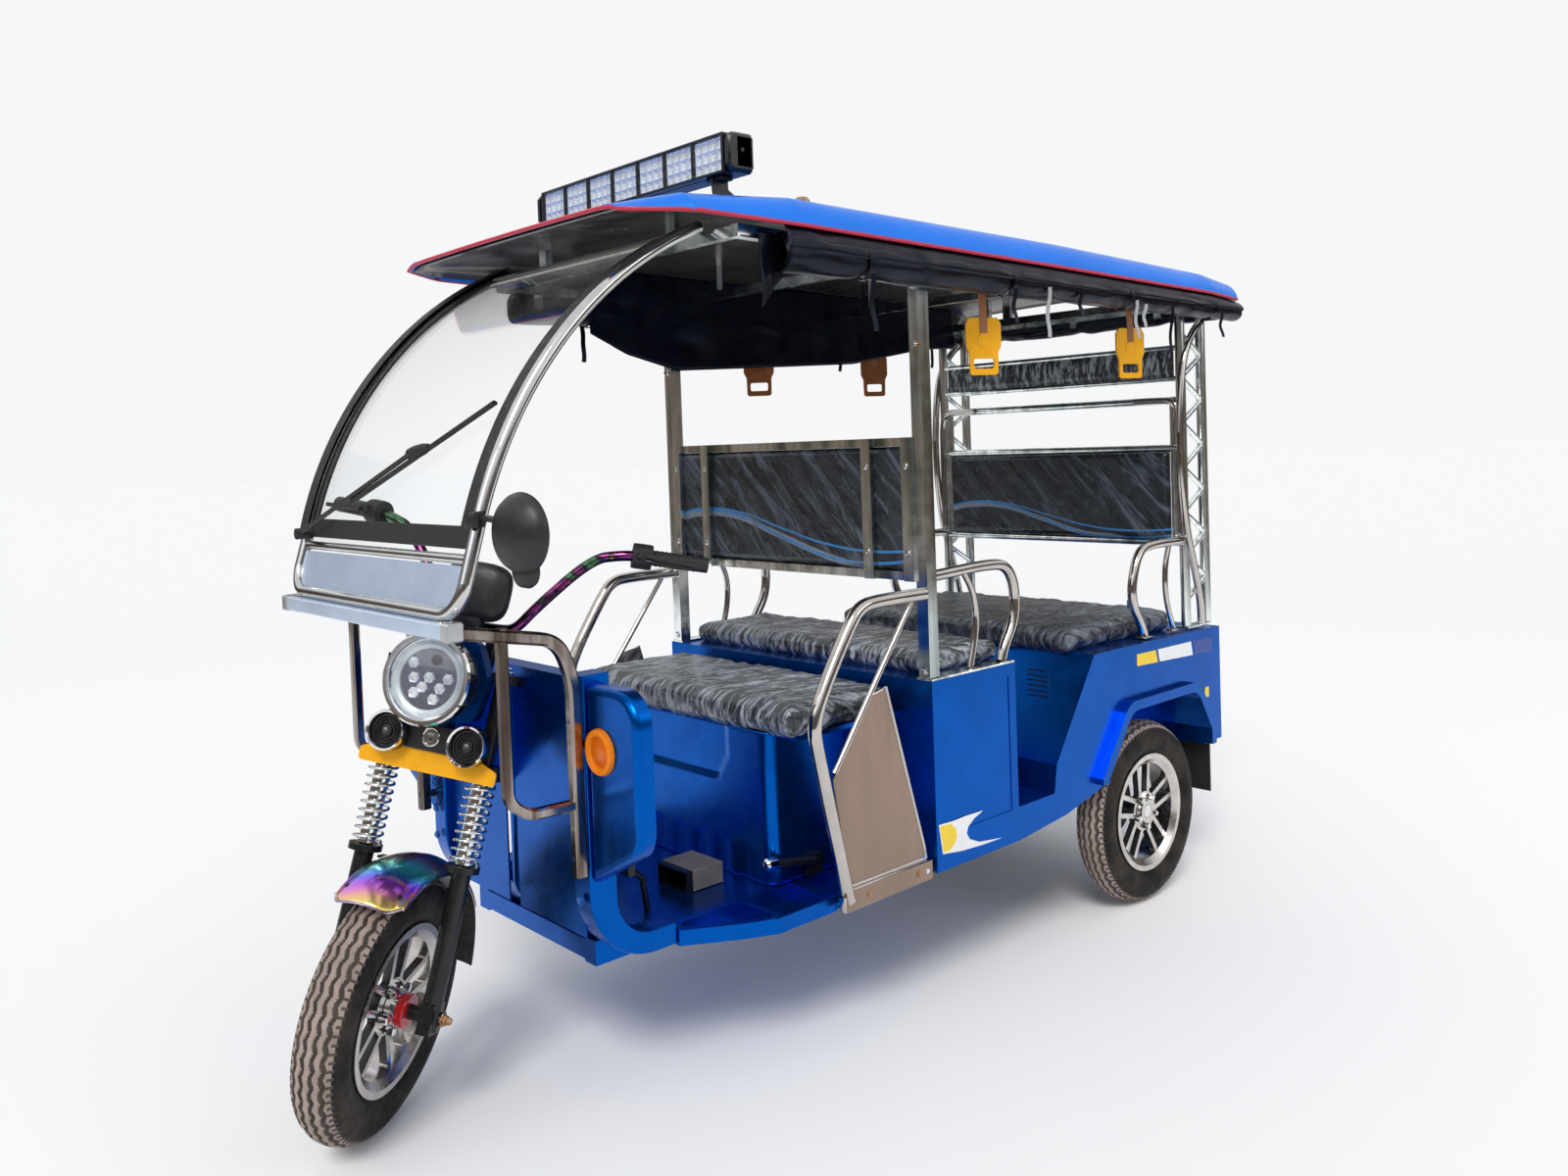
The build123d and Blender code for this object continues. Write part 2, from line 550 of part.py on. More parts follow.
# Front shield: wall, hollow columns, curved foot flanges and the side wings
COLUMN_D = 62
FOOT_TOP = 344
FOOT_R_OUT = 150
FOOT_R_IN = 88
wall = block(
    -SHIELD_HALF + COLUMN_W, SHIELD_HALF - COLUMN_W, SHIELD_Y + 18, SHIELD_Y + 18 + SHEET, 352,
    SHIELD_TOP - 12,
)
arc_share = 1 - math.sqrt(0.5)
column_y = SHIELD_Y + COLUMN_D
column_outline = [
    Line((SHIELD_Y, FOOT_Z + FOOT_R_OUT), (SHIELD_Y, SHIELD_TOP)),
    Line((SHIELD_Y, SHIELD_TOP), (column_y, SHIELD_TOP)),
    Line((column_y, SHIELD_TOP), (column_y, FOOT_TOP + FOOT_R_IN)),
    ThreePointArc(
        (column_y, FOOT_TOP + FOOT_R_IN),
        (column_y + arc_share * FOOT_R_IN, FOOT_TOP + arc_share * FOOT_R_IN),
        (column_y + FOOT_R_IN, FOOT_TOP),
    ),
    Line((column_y + FOOT_R_IN, FOOT_TOP), (FOOT_Y, FOOT_TOP)),
    Line((FOOT_Y, FOOT_TOP), (FOOT_Y, FOOT_Z)),
    Line((FOOT_Y, FOOT_Z), (SHIELD_Y + FOOT_R_OUT, FOOT_Z)),
    ThreePointArc(
        (SHIELD_Y + FOOT_R_OUT, FOOT_Z),
        (SHIELD_Y + arc_share * FOOT_R_OUT, FOOT_Z + arc_share * FOOT_R_OUT),
        (SHIELD_Y, FOOT_Z + FOOT_R_OUT),
    ),
]
column_side = Plane.YZ.offset(SHIELD_HALF - COLUMN_W) * make_face(Wire(column_outline))
column = softened(extrude(column_side, COLUMN_W, dir=(1, 0, 0)), 4)
lower_outline = [
    (SHIELD_Y + 18, 420), (SHIELD_Y + 22, 420), (SHIELD_Y + 88, 326.5), (SHIELD_Y + 88, 322.5),
    (SHIELD_Y + 70, 322.5),
    (SHIELD_Y + 18, 400),
]
lower_wall = slab_x(lower_outline, -SHIELD_HALF + COLUMN_W - 2, SHIELD_HALF - COLUMN_W + 2)
WING_Z0 = 474
WING_Z1 = 856
WING_D = 36
WING_SLOPE = 90
WING_RIM_R = 16


def wing_solid(inset, y0, y1, rim_r):
    """A side wing's outline, its lower edge rising outward, with a rolled front rim."""
    x0 = SHIELD_HALF - 1 + inset
    x1 = WING_OUT - inset
    outline = [
        (x0, WING_Z0 + inset), (x1, WING_Z0 + WING_SLOPE + inset), (x1, WING_Z1 - inset),
        (x0, WING_Z1 - inset),
    ]
    solid = slab_y(outline, y0, y1, 66 - inset, (1, 2))
    return fillet(solid.faces().sort_by(Axis.Y)[0].edges(), rim_r)


wing = wing_solid(0, SHIELD_Y + 4, SHIELD_Y + 4 + WING_D, WING_RIM_R)
wing = wing - wing_solid(SHEET, SHIELD_Y + 4 + SHEET, SHIELD_Y + 6 + WING_D, WING_RIM_R - SHEET)
shield = joined(wall, lower_wall, *both_sides(column), *both_sides(wing))
top_cap = block(-SHIELD_HALF, SHIELD_HALF, SHIELD_Y + 18, SHIELD_Y + 60, SHIELD_TOP - 16, SHIELD_TOP - 12)
neck_slot = block(-22, 22, SHIELD_Y - 10, SHIELD_Y + 90, 320, 842)
nodes["front_shield"] = shield + top_cap - neck_slot

# Turn lamps on the wings
TURN_LAMP_X = SHIELD_HALF + 48
TURN_LAMP_R = 44
turn_lamp = rod((TURN_LAMP_X, SHIELD_Y + 4 - LAYER_GAP, 735), (TURN_LAMP_X, SHIELD_Y - 12, 735), TURN_LAMP_R)

# Driver's seat box, open below, with a toe recess in its front face
SEAT_REAR_Y = BENCH_Y0 - LAYER_GAP
SEAT_LOW = FLOOR_Z + LAYER_GAP
seat_outline = [
    (SEAT_FRONT_Y, SEAT_LOW), (SEAT_FRONT_Y, SEAT_BOX_TOP), (SEAT_REAR_Y, SEAT_BOX_TOP),
    (SEAT_REAR_Y, SEAT_LOW),
]
seat_box = slab_x(seat_outline, -SEAT_BOX_HALF, SEAT_BOX_HALF, 26, (1,))
hollow_half = SEAT_BOX_HALF - SHEET
seat_hollow = block(
    -hollow_half, hollow_half, SEAT_FRONT_Y + SHEET, SEAT_REAR_Y - SHEET, FLOOR_Z - 5,
    SEAT_BOX_TOP - SHEET,
)
seat_top = block(
    -SEAT_TOP_HALF, SEAT_TOP_HALF, SEAT_FRONT_Y + 6, SEAT_REAR_Y, SEAT_BOX_TOP - 10, SEAT_BOX_TOP,
)
front_corners = seat_box.edges().filter_by(Axis.Z).sort_by(Axis.Y)[:2]
seat_box = fillet(front_corners, 22) + seat_top - seat_hollow
cushion_half = SEAT_TOP_HALF + 18
driver_cushion = block(
    -cushion_half, cushion_half, SEAT_FRONT_Y - 26, BENCH_Y0 - 25, SEAT_BOX_TOP + LAYER_GAP,
    SEAT_BOX_TOP + CUSHION_T,
)
driver_cushion = softened(driver_cushion, 16)

# Foot controls: pedal housing on the floor, brake pedal, parking brake lever
PEDAL_Y = SHIELD_Y + 220
pedal_box = block(81, 186, PEDAL_Y + 110, PEDAL_Y + 190, FLOOR_Z + LAYER_GAP, FLOOR_Z + 46)
pedal_box = pedal_box - block(85, 182, PEDAL_Y + 100, PEDAL_Y + 186, FLOOR_Z + 4, FLOOR_Z + 42)
pedal_points = [
    (190, PEDAL_Y, FLOOR_Z + LAYER_GAP), (190, PEDAL_Y - 10, FLOOR_Z + 70),
    (190, PEDAL_Y - 55, FLOOR_Z + 105),
]
pedal = tube(pedal_points, 14, 20) + block(160, 220, PEDAL_Y - 64, PEDAL_Y - 48, FLOOR_Z + 92, FLOOR_Z + 122)
pedal = pedal - block(150, 230, PEDAL_Y - 40, PEDAL_Y + 40, FLOOR_Z - 20, FLOOR_Z + LAYER_GAP)
# the parking lever turns on a bracket on the seat box's side
LEVER_X = SEAT_BOX_HALF + 22
lever_y = SEAT_FRONT_Y + 104
lever_foot = block(
    SEAT_BOX_HALF + LAYER_GAP, LEVER_X + 4, lever_y - 22, lever_y + 22, FLOOR_Z + 6, FLOOR_Z + 52,
)
park_lever = lever_foot + rod(
    (LEVER_X, lever_y, FLOOR_Z + 38), (LEVER_X, SEAT_FRONT_Y - 36, FLOOR_Z + 62), 11,
)
nodes["foot_controls"] = pieces(pedal_box, pedal, park_lever)

# Front bench: box behind the driver with flush side panels and a pressed recess on each side
bench = block(-BODY_HALF, BODY_HALF, BENCH_Y0, BENCH_Y1, SILL_Z, BENCH_TOP)
inner_half = BODY_HALF - SHEET
bench_hollow = block(
    -inner_half, inner_half, BENCH_Y0 + SHEET, BENCH_Y1 - SHEET, SILL_Z - 1, BENCH_TOP - SHEET,
)
bench = bench - bench_hollow
for y0, y1 in ((BENCH_Y0 - 55, BENCH_Y0 + 15), (BENCH_Y1 - 40, BENCH_Y1 + 40)):
    bench = bench - block(-FLOOR_HALF - 1, FLOOR_HALF + 1, y0, y1, SILL_Z - 1, FLOOR_Z + LAYER_GAP)
recess = block(BODY_HALF - 2, BODY_HALF + 1, BENCH_Y0 + 30, BENCH_Y1 - 26, 398, BENCH_TOP - 30)
bench = bench - recess - mirror(recess, about=Plane.YZ)
nodes["seat_boxes"] = pieces(seat_box, bench)
BENCH_CUSHION_TOP = BENCH_TOP + 46
bench_half = POST_X - 24
bench_cushion = softened(
    block(-bench_half, bench_half, POST_Y + 24, BENCH_Y1 + 8, BENCH_TOP + LAYER_GAP, BENCH_CUSHION_TOP),
    14,
)

# Rear tub: one shell, open below, from the footwell sill to the tail, with arches and wheel housings
tub_outline = [
    (BENCH_Y1 + 0.3, SILL_Z), (BENCH_Y1 + 0.3, WELL_Z), (-452, WELL_Z), (-440, 470), (-262, TUB_TOP),
    (-150, TUB_TOP),
    (TUB_REAR_Y, TUB_TOP - 6), (TUB_REAR_Y, 384), (-180, 384), (-400, SILL_Z + 18),
]
tub_hollow_outline = [
    (BENCH_Y1 + 4.3, SILL_Z - 30), (BENCH_Y1 + 4.3, WELL_Z - SHEET), (-450, WELL_Z - SHEET), (-437, 468),
    (-260, TUB_TOP - SHEET), (-150, TUB_TOP - SHEET), (TUB_REAR_Y - SHEET, TUB_TOP - 10),
    (TUB_REAR_Y - SHEET, 300),
    (-400, 290),
]
tub = slab_x(tub_outline, -BODY_HALF, BODY_HALF) - slab_x(
    tub_hollow_outline, -BODY_HALF + SHEET, BODY_HALF - SHEET,
)
arch = [(-240, 300), (-240, 392), (-120, 552), (222, 552), (298, 430), (298, 300)]
arch_outer = [(-246, 380), (-246, 396), (-123, 558), (226, 558), (304, 432), (304, 380)]
lip_outer = [(-268, 384), (-268, 400), (-132, 578), (236, 578), (322, 438), (322, 384)]
arch_cut = slab_x(arch, LINER_X, BODY_HALF + 40, 60, (2, 3))
liner = slab_x(arch_outer, LINER_X - SHEET, BODY_HALF - 1, 62, (2, 3))
lip = slab_x(lip_outer, BODY_HALF - SHEET, BODY_HALF + 22, 66, (2, 3))
for side_plane in (None, Plane.YZ):
    parts = [liner, lip, arch_cut]
    if side_plane:
        parts = [mirror(p, about=side_plane) for p in parts]
    tub = tub + parts[0] + parts[1] - parts[2]
nodes["rear_tub"] = tub - block(
    -FLOOR_HALF, FLOOR_HALF, BENCH_Y1 - 40, BENCH_Y1 + 40, 280, FLOOR_Z + LAYER_GAP,
)
rear_half = TRUSS_X - 22
rear_cushion = softened(
    block(-rear_half, rear_half, -290, TRUSS_Y0 - 40, TUB_TOP + LAYER_GAP, TUB_TOP + 54), 16,
)
nodes["seat_cushions"] = pieces(driver_cushion, bench_cushion, rear_cushion)


def roof_station(y):
    """Half width, edge height and crown height of the roof at y."""
    for first, second in zip(ROOF_STATIONS, ROOF_STATIONS[1:]):
        if first[0] <= y <= second[0]:
            t = (y - first[0]) / (second[0] - first[0])
            return [a + t * (b - a) for a, b in zip(first[1:], second[1:])]
    raise ValueError("outside the roof")


def roof_height(x, y, drop=0):
    """Height of the roof's outer face less drop: a slightly crowned top between two steep shoulders."""
    half, edge, crown = roof_station(y)
    shoulder_x = half - ROOF_SHOULDER
    shoulder_z = edge + ROOF_SHOULDER_SHARE * (crown - edge)
    if abs(x) <= shoulder_x:
        return shoulder_z + (crown - shoulder_z) * (1 - (x / shoulder_x) ** 2) - drop
    return edge + (shoulder_z - edge) * (half - abs(x)) / ROOF_SHOULDER - drop


# Roof shell: each section is a crowned top, two shoulders and an upright lip at the brim
roof_sections = []
for y, half, edge, crown in ROOF_STATIONS:
    shoulder_x = half - ROOF_SHOULDER
    rise = ROOF_SHOULDER_SHARE * (crown - edge)
    inner_x = half - ROOF_T
    upper = ThreePointArc((-shoulder_x, edge + rise), (0, crown), (shoulder_x, edge + rise))
    lower = ThreePointArc(
        (shoulder_x, edge + rise - ROOF_T), (0, crown - ROOF_T), (-shoulder_x, edge + rise - ROOF_T),
    )
    bulge = (half - 0.36 * ROOF_SHOULDER, edge + 0.72 * rise)
    under = (inner_x - 0.36 * ROOF_SHOULDER, edge + 0.72 * rise - ROOF_T)
    outline = [
        upper,
        ThreePointArc((shoulder_x, edge + rise), bulge, (half, edge)),
        Line((half, edge), (half, edge - ROOF_T)),
        Line((half, edge - ROOF_T), (inner_x, edge - ROOF_T)),
        ThreePointArc((inner_x, edge - ROOF_T), under, (shoulder_x, edge + rise - ROOF_T)),
        lower,
        ThreePointArc((-shoulder_x, edge + rise - ROOF_T), (-under[0], under[1]), (-inner_x, edge - ROOF_T)),
        Line((-inner_x, edge - ROOF_T), (-half, edge - ROOF_T)),
        Line((-half, edge - ROOF_T), (-half, edge)),
        ThreePointArc((-half, edge), (-bulge[0], bulge[1]), (-shoulder_x, edge + rise)),
    ]
    plane = Plane(origin=(0, y, 0), x_dir=(1, 0, 0), z_dir=(0, -1, 0))
    roof_sections.append(plane * make_face(Wire(outline)))
nodes["roof_shell"] = loft(roof_sections, ruled=True)

# Rolled curtains: each side roll tapers toward the rear; the rear one lies across
ROLL_X = BODY_HALF + 28
ROLL_Y0 = SHIELD_Y + 370
ROLL_Y1 = 470
ROLL_R0 = 40
ROLL_R1 = 28
ROLL_Z0 = 1672
ROLL_Z1 = 1642
REAR_ROLL_Y = 444
REAR_ROLL_Z = 1646
REAR_ROLL_R = 26
REAR_ROLL_HALF = BODY_HALF - 15


def roll_radius(y):
    return ROLL_R0 + (ROLL_R1 - ROLL_R0) * (y - ROLL_Y0) / (ROLL_Y1 - ROLL_Y0)


def roll_z(y):
    return ROLL_Z0 + (ROLL_Z1 - ROLL_Z0) * (y - ROLL_Y0) / (ROLL_Y1 - ROLL_Y0)


roll_parts = []
for side in (-1, 1):
    ends = []
    for y in (ROLL_Y0, ROLL_Y1):
        end_plane = Plane(origin=(side * ROLL_X, y, roll_z(y)), x_dir=(1, 0, 0), z_dir=(0, 1, 0))
        ends.append(end_plane * Circle(roll_radius(y)))
    flat_side = block(
        side * (ROLL_IN - 40), side * ROLL_IN, ROLL_Y0 - 10, ROLL_Y1 + 10, ROLL_Z1 - 60, ROLL_Z0 + 60,
    )
    roll_parts.append(loft(ends) - flat_side)
rear_roll_end = (REAR_ROLL_HALF, REAR_ROLL_Y, REAR_ROLL_Z)
roll_parts.append(rod((-REAR_ROLL_HALF, REAR_ROLL_Y, REAR_ROLL_Z), rear_roll_end, REAR_ROLL_R))
nodes["rolled_curtains"] = pieces(*roll_parts)

# Canopy frame: side rails and bows under the roof, posts, rear ladder trusses and the backrests' own frames
UNDER = ROOF_T + LAYER_GAP
RAIL_FRONT_Y = SCREEN_TOP_Y + 17
RAIL_REAR_Y = TRUSS_Y1 + 12
RAIL_DROP = 17
rail_z0 = roof_station(RAIL_FRONT_Y)[1] - RAIL_DROP
rail_z1 = roof_station(RAIL_REAR_Y)[1] - RAIL_DROP


def side_rail_z(y):
    """Height of the side rail's middle line."""
    return rail_z0 + (rail_z1 - rail_z0) * (y - RAIL_FRONT_Y) / (RAIL_REAR_Y - RAIL_FRONT_Y)


canopy = []
for side in (-1, 1):
    x = side * POST_X
    canopy.append(tube([(x, RAIL_FRONT_Y, rail_z0), (x, RAIL_REAR_Y, rail_z1)], TUBE, round_tube=False))
    post_top = side_rail_z(POST_Y)
    canopy.append(
        block(
            x - POST / 2, x + POST / 2, POST_Y - POST / 2, POST_Y + POST / 2, BENCH_TOP + LAYER_GAP,
            post_top,
        )
    )
    canopy.append(block(x - 22, x + 22, POST_Y - 18, BENCH_Y1, BENCH_TOP + LAYER_GAP, BENCH_TOP + 5))
    truss_x = side * TRUSS_X
    for y in (TRUSS_Y0, TRUSS_Y1):
        canopy.append(rod((truss_x, y, TUB_TOP + LAYER_GAP), (truss_x, y, side_rail_z(y)), 14))
    canopy.append(
        block(truss_x - 18, truss_x + 18, TRUSS_Y0 - 22, TRUSS_Y1 - 2, TUB_TOP + LAYER_GAP, TUB_TOP + 5)
    )
    for step_z in range(800, 1560, 130):
        canopy.append(rod((truss_x, TRUSS_Y0, step_z), (truss_x, TRUSS_Y1, step_z + 65), 8))
        canopy.append(rod((truss_x, TRUSS_Y1, step_z + 65), (truss_x, TRUSS_Y0, step_z + 130), 8))
    for y in (ROLL_Y0 + 50, -450, 0, 350):
        tab_end = max(ROLL_IN, ROLL_X - roll_radius(y)) - LAYER_GAP
        canopy.append(
            block(side * (POST_X + 11), side * tab_end, y - 12, y + 12, roll_z(y) - 6, side_rail_z(y) + 5)
        )
for x in (-300, 0, 300):
    tab_y = REAR_ROLL_Y - REAR_ROLL_R - LAYER_GAP
    canopy.append(block(x - 12, x + 12, TRUSS_Y1 + 8, tab_y, REAR_ROLL_Z - 6, side_rail_z(TRUSS_Y1)))
for y in (RAIL_FRONT_Y + 12, POST_Y, -300, TRUSS_Y0, TRUSS_Y1):
    z = side_rail_z(y)
    canopy.append(tube([(-POST_X, y, z), (POST_X, y, z)], TUBE - 3, across=(0, 1, 0), round_tube=False))
    # short stubs carry the roof on each bow
    for x in (-250, 250):
        stub_top = min(roof_height(x + dx, y + dy, UNDER) for dx in (-15, 15) for dy in (-9, 9))
        canopy.append(block(x - 15, x + 15, y - 9, y + 9, z, stub_top))

# Backrests: square frames with flat straps, padded panels in front of them
BACK_Z0 = 985
BACK_Z1 = 1292
for z in (BACK_Z0, BACK_Z1):
    canopy.append(block(-POST_X, POST_X, POST_Y - 10, POST_Y + 10, z - 10, z + 10))
for x in (-POST_X + 31, -300, 300, POST_X - 31):
    canopy.append(block(x - 15, x + 15, POST_Y - 24, POST_Y - 9, BACK_Z0 - 10, BACK_Z1 + 10))
driver_pad = block(-POST_X + 20, POST_X - 20, POST_Y - 8.5, POST_Y + 22, BACK_Z0 + 10.3, BACK_Z1 - 10.3)

REAR_BACK_Z0 = 970
REAR_BACK_Z1 = 1246
for z in (REAR_BACK_Z0, REAR_BACK_Z1, 1385):
    canopy.append(rod((-TRUSS_X, TRUSS_Y0, z), (TRUSS_X, TRUSS_Y0, z), 11))
for x in (-TRUSS_X + 27, TRUSS_X - 27):
    canopy.append(rod((x, TRUSS_Y0, REAR_BACK_Z0), (x, TRUSS_Y0, 1385), 9))
pad_half = TRUSS_X - 38
rear_pad = block(-pad_half, pad_half, TRUSS_Y0 - 26, TRUSS_Y0 + 8, REAR_BACK_Z0 + 11.3, REAR_BACK_Z1 - 11.3)
UPPER_Z0 = 1448
UPPER_Z1 = 1537
upper_pad = block(
    -rear_half, rear_half, TRUSS_Y0 - 6, TRUSS_Y0 + 6, UPPER_Z0 + 8 + LAYER_GAP, UPPER_Z1 - 8 - LAYER_GAP,
)
for z in (UPPER_Z0, UPPER_Z1):
    canopy.append(rod((-TRUSS_X, TRUSS_Y0, z), (TRUSS_X, TRUSS_Y0, z), 8))
nodes["canopy_frame"] = joined(*canopy)
nodes["backrest_pads"] = pieces(softened(driver_pad, 5), softened(rear_pad, 5), upper_pad)

# Grab rails beside the driver, with gusset plates and foot straps
GRAB_X = BODY_HALF - 18
GRAB_D = 30
GRAB_TOP = 948
grab_foot_y = SEAT_FRONT_Y + 58
grab_knee_y = SEAT_FRONT_Y - 24
grab_points = [
    (GRAB_X, grab_foot_y, 322), (GRAB_X, grab_knee_y, 700), (GRAB_X, SEAT_FRONT_Y + 122, GRAB_TOP),
    (GRAB_X, POST_Y - POST / 2 - LAYER_GAP, GRAB_TOP),
]
grab = tube(grab_points, GRAB_D, 70)
grab = grab + rod((GRAB_X, BENCH_Y0 - 40, GRAB_TOP - 8), (GRAB_X, SEAT_FRONT_Y + 27, 600), 12)
gusset_outline = [
    (grab_foot_y + 2, 352), (BENCH_Y0 - 13, 352), (SEAT_FRONT_Y + 197, 760), (SEAT_FRONT_Y + 140, 748),
    (SEAT_FRONT_Y + 27, 590),
]
grab = grab + slab_x(gusset_outline, GRAB_X - 6, GRAB_X - 3)
strap = block(GRAB_X - 12, GRAB_X + 10, SEAT_FRONT_Y + 40, BENCH_Y0 - 7, 306, 352)
bracket = block(STEP_EDGE_X + LAYER_GAP, GRAB_X, SEAT_FRONT_Y + 40, BENCH_Y0 - 7, 306, 322)
grab_set = [grab + strap + bracket]

# Armrest loops on the front bench and on the rear tub, cut off level at their feet
arm_y0 = POST_Y + POST / 2 + LAYER_GAP
arm_y1 = TRUSS_Y0 - 14 - LAYER_GAP
foot = BENCH_TOP + 5 + LAYER_GAP
front_arm_points = [
    (POST_X, arm_y0, 985), (POST_X, BENCH_Y1 - 40, 990), (POST_X, BENCH_Y1 + 28, 900),
    (POST_X, BENCH_Y1 + 26, 830),
    (POST_X, BENCH_Y1 - 40, 730),
]
front_prop_points = [
    (POST_X, BENCH_Y1 - 160, 985), (POST_X, BENCH_Y1 - 112, 870), (POST_X, BENCH_Y1 - 156, 730),
]
front_arm = tube(front_arm_points, 26, 34) + tube(front_prop_points, 16, 30)
front_arm = front_arm - block(POST_X - 30, POST_X + 30, BENCH_Y1 - 200, BENCH_Y1 + 40, 700, foot)
rear_arm = tube(
    [(TRUSS_X, arm_y1, 978), (TRUSS_X, 60, 978), (TRUSS_X, -14, 860), (TRUSS_X, 58, 700)], 26, 38,
)
rear_arm = rear_arm + tube([(TRUSS_X, 190, 978), (TRUSS_X, 160, 860), (TRUSS_X, 212, 700)], 16, 30)
rear_arm = rear_arm - block(TRUSS_X - 30, TRUSS_X + 30, 0, 240, 660, TUB_TOP + LAYER_GAP)
grab_set.extend([front_arm, rear_arm])
grab_parts = []
for shape in grab_set:
    grab_parts.extend(both_sides(shape))
nodes["grab_rails"] = pieces(*grab_parts)

# Windscreen: two curved pillars and a top and bottom bar, the pane between them
sy, sz = SCREEN_CENTRE


def screen_point(z=None, y=None, r=SCREEN_R):
    if z is not None:
        return (sy - math.sqrt(r**2 - (z - sz) ** 2), z)
    return (y, sz + math.sqrt(r**2 - (y - sy) ** 2))


def screen_arc(x, r, low_z, top_y):
    """Arc of radius r in the side plane at x."""
    low = screen_point(z=low_z, r=r)
    top = screen_point(y=top_y, r=r)
    angle_low = math.atan2(low[1] - sz, low[0] - sy)
    angle_top = math.atan2(top[1] - sz, top[0] - sy)
    mid = (angle_low + angle_top) / 2
    middle = (sy + r * math.cos(mid), sz + r * math.sin(mid))
    return ThreePointArc((x, *low), (x, *middle), (x, *top))


TUBE_R = 12.5
PILLAR_X = SCREEN_HALF - TUBE_R
PILLAR_LOW_Z = 1180
TOP_BAR_Y = SCREEN_TOP_Y - 63
LOOP_BEND = 56
lean_y = screen_point(z=PILLAR_LOW_Z)[0]
sill_z = VISOR_Z0 + TUBE_R + LAYER_GAP
# the legs below the arcs run on along the arcs' own tangent
lean = (PILLAR_LOW_Z - sz) / (sy - lean_y)
sill_y = lean_y - lean * (PILLAR_LOW_Z - sill_z)
left_arc = screen_arc(PILLAR_X, SCREEN_R, PILLAR_LOW_Z, SCREEN_TOP_Y)
right_arc = screen_arc(-PILLAR_X, SCREEN_R, PILLAR_LOW_Z, SCREEN_TOP_Y)
loop_points = [
    (PILLAR_X, lean_y, PILLAR_LOW_Z), (PILLAR_X, sill_y, sill_z), (-PILLAR_X, sill_y, sill_z),
    (-PILLAR_X, lean_y, PILLAR_LOW_Z),
]
loop = FilletPolyline(*loop_points, radius=LOOP_BEND)
frame_route = Wire([left_arc] + loop.edges() + [right_arc])
frame_end = Plane(origin=left_arc @ 1, x_dir=(1, 0, 0), z_dir=left_arc % 1)
frame_parts = [sweep(frame_end * Circle(TUBE_R), path=frame_route)]
for y, z in (screen_point(z=SCREEN_LOW_Z), screen_point(y=TOP_BAR_Y)):
    frame_parts.append(rod((-PILLAR_X, y, z), (PILLAR_X, y, z), 9))
nodes["windscreen_frame"] = joined(*frame_parts)

GLASS_T = 5
glass_low = SCREEN_LOW_Z + 9 + LAYER_GAP
glass_top = TOP_BAR_Y - 12
glass_arc_out = screen_arc(0, SCREEN_R + GLASS_T / 2, glass_low, glass_top)
glass_arc_in = screen_arc(0, SCREEN_R - GLASS_T / 2, glass_low, glass_top)


def flat(edge_point):
    return (edge_point.Y, edge_point.Z)


outer2 = ThreePointArc(flat(glass_arc_out @ 0), flat(glass_arc_out @ 0.5), flat(glass_arc_out @ 1))
inner2 = ThreePointArc(flat(glass_arc_in @ 1), flat(glass_arc_in @ 0.5), flat(glass_arc_in @ 0))
glass_face = make_face(Wire([outer2, Line(outer2 @ 1, inner2 @ 0), inner2, Line(inner2 @ 1, outer2 @ 0)]))
GLASS_HALF = SCREEN_HALF - 2 * TUBE_R - LAYER_GAP
nodes["windscreen_glass"] = extrude(Plane.YZ.offset(-GLASS_HALF) * glass_face, 2 * GLASS_HALF, dir=(1, 0, 0))

# Visor panel inside the loop below the screen, leaning with it
visor_up = Vector(0, lean_y - sill_y, PILLAR_LOW_Z - sill_z).normalized()
visor_plane = Plane(origin=(0, sill_y, sill_z), x_dir=(1, 0, 0), z_dir=Vector(1, 0, 0).cross(visor_up))
visor_low = TUBE_R + LAYER_GAP
visor_half = PILLAR_X - TUBE_R - LAYER_GAP
visor_high = 87
visor_corners = [
    (-visor_half, visor_low), (visor_half, visor_low), (visor_half, visor_high),
    (-visor_half, visor_high),
]
visor_face = make_face(Polyline(*visor_corners, close=True))
low_corners = visor_face.vertices().sort_by(Axis.Y)[:2]
visor_face = fillet(low_corners, LOOP_BEND - TUBE_R - LAYER_GAP)
nodes["visor_panel"] = visor_plane.location * extrude(visor_face, SHEET / 2, both=True)

# Wiper: motor stub on the right, arm and blade in front of the pane
WIPER_GAP = 19
WIPER_X = -340
WIPER_Z = 1142
wiper_y = screen_point(z=WIPER_Z, r=SCREEN_R + GLASS_T / 2)[0] - 3.5
wiper = rod((WIPER_X, wiper_y - 34, WIPER_Z), (WIPER_X, wiper_y, WIPER_Z), 12)
arm_end = (70, screen_point(z=1304)[0] - WIPER_GAP - 5, 1304)
wiper = wiper + rod((WIPER_X, wiper_y - 28, WIPER_Z), arm_end, 5)
blade_low = (-140, screen_point(z=1210)[0] - WIPER_GAP, 1210)
blade_high = (306, screen_point(z=1388)[0] - WIPER_GAP, 1388)
nodes["wiper"] = wiper + rod(blade_low, blade_high, 5)

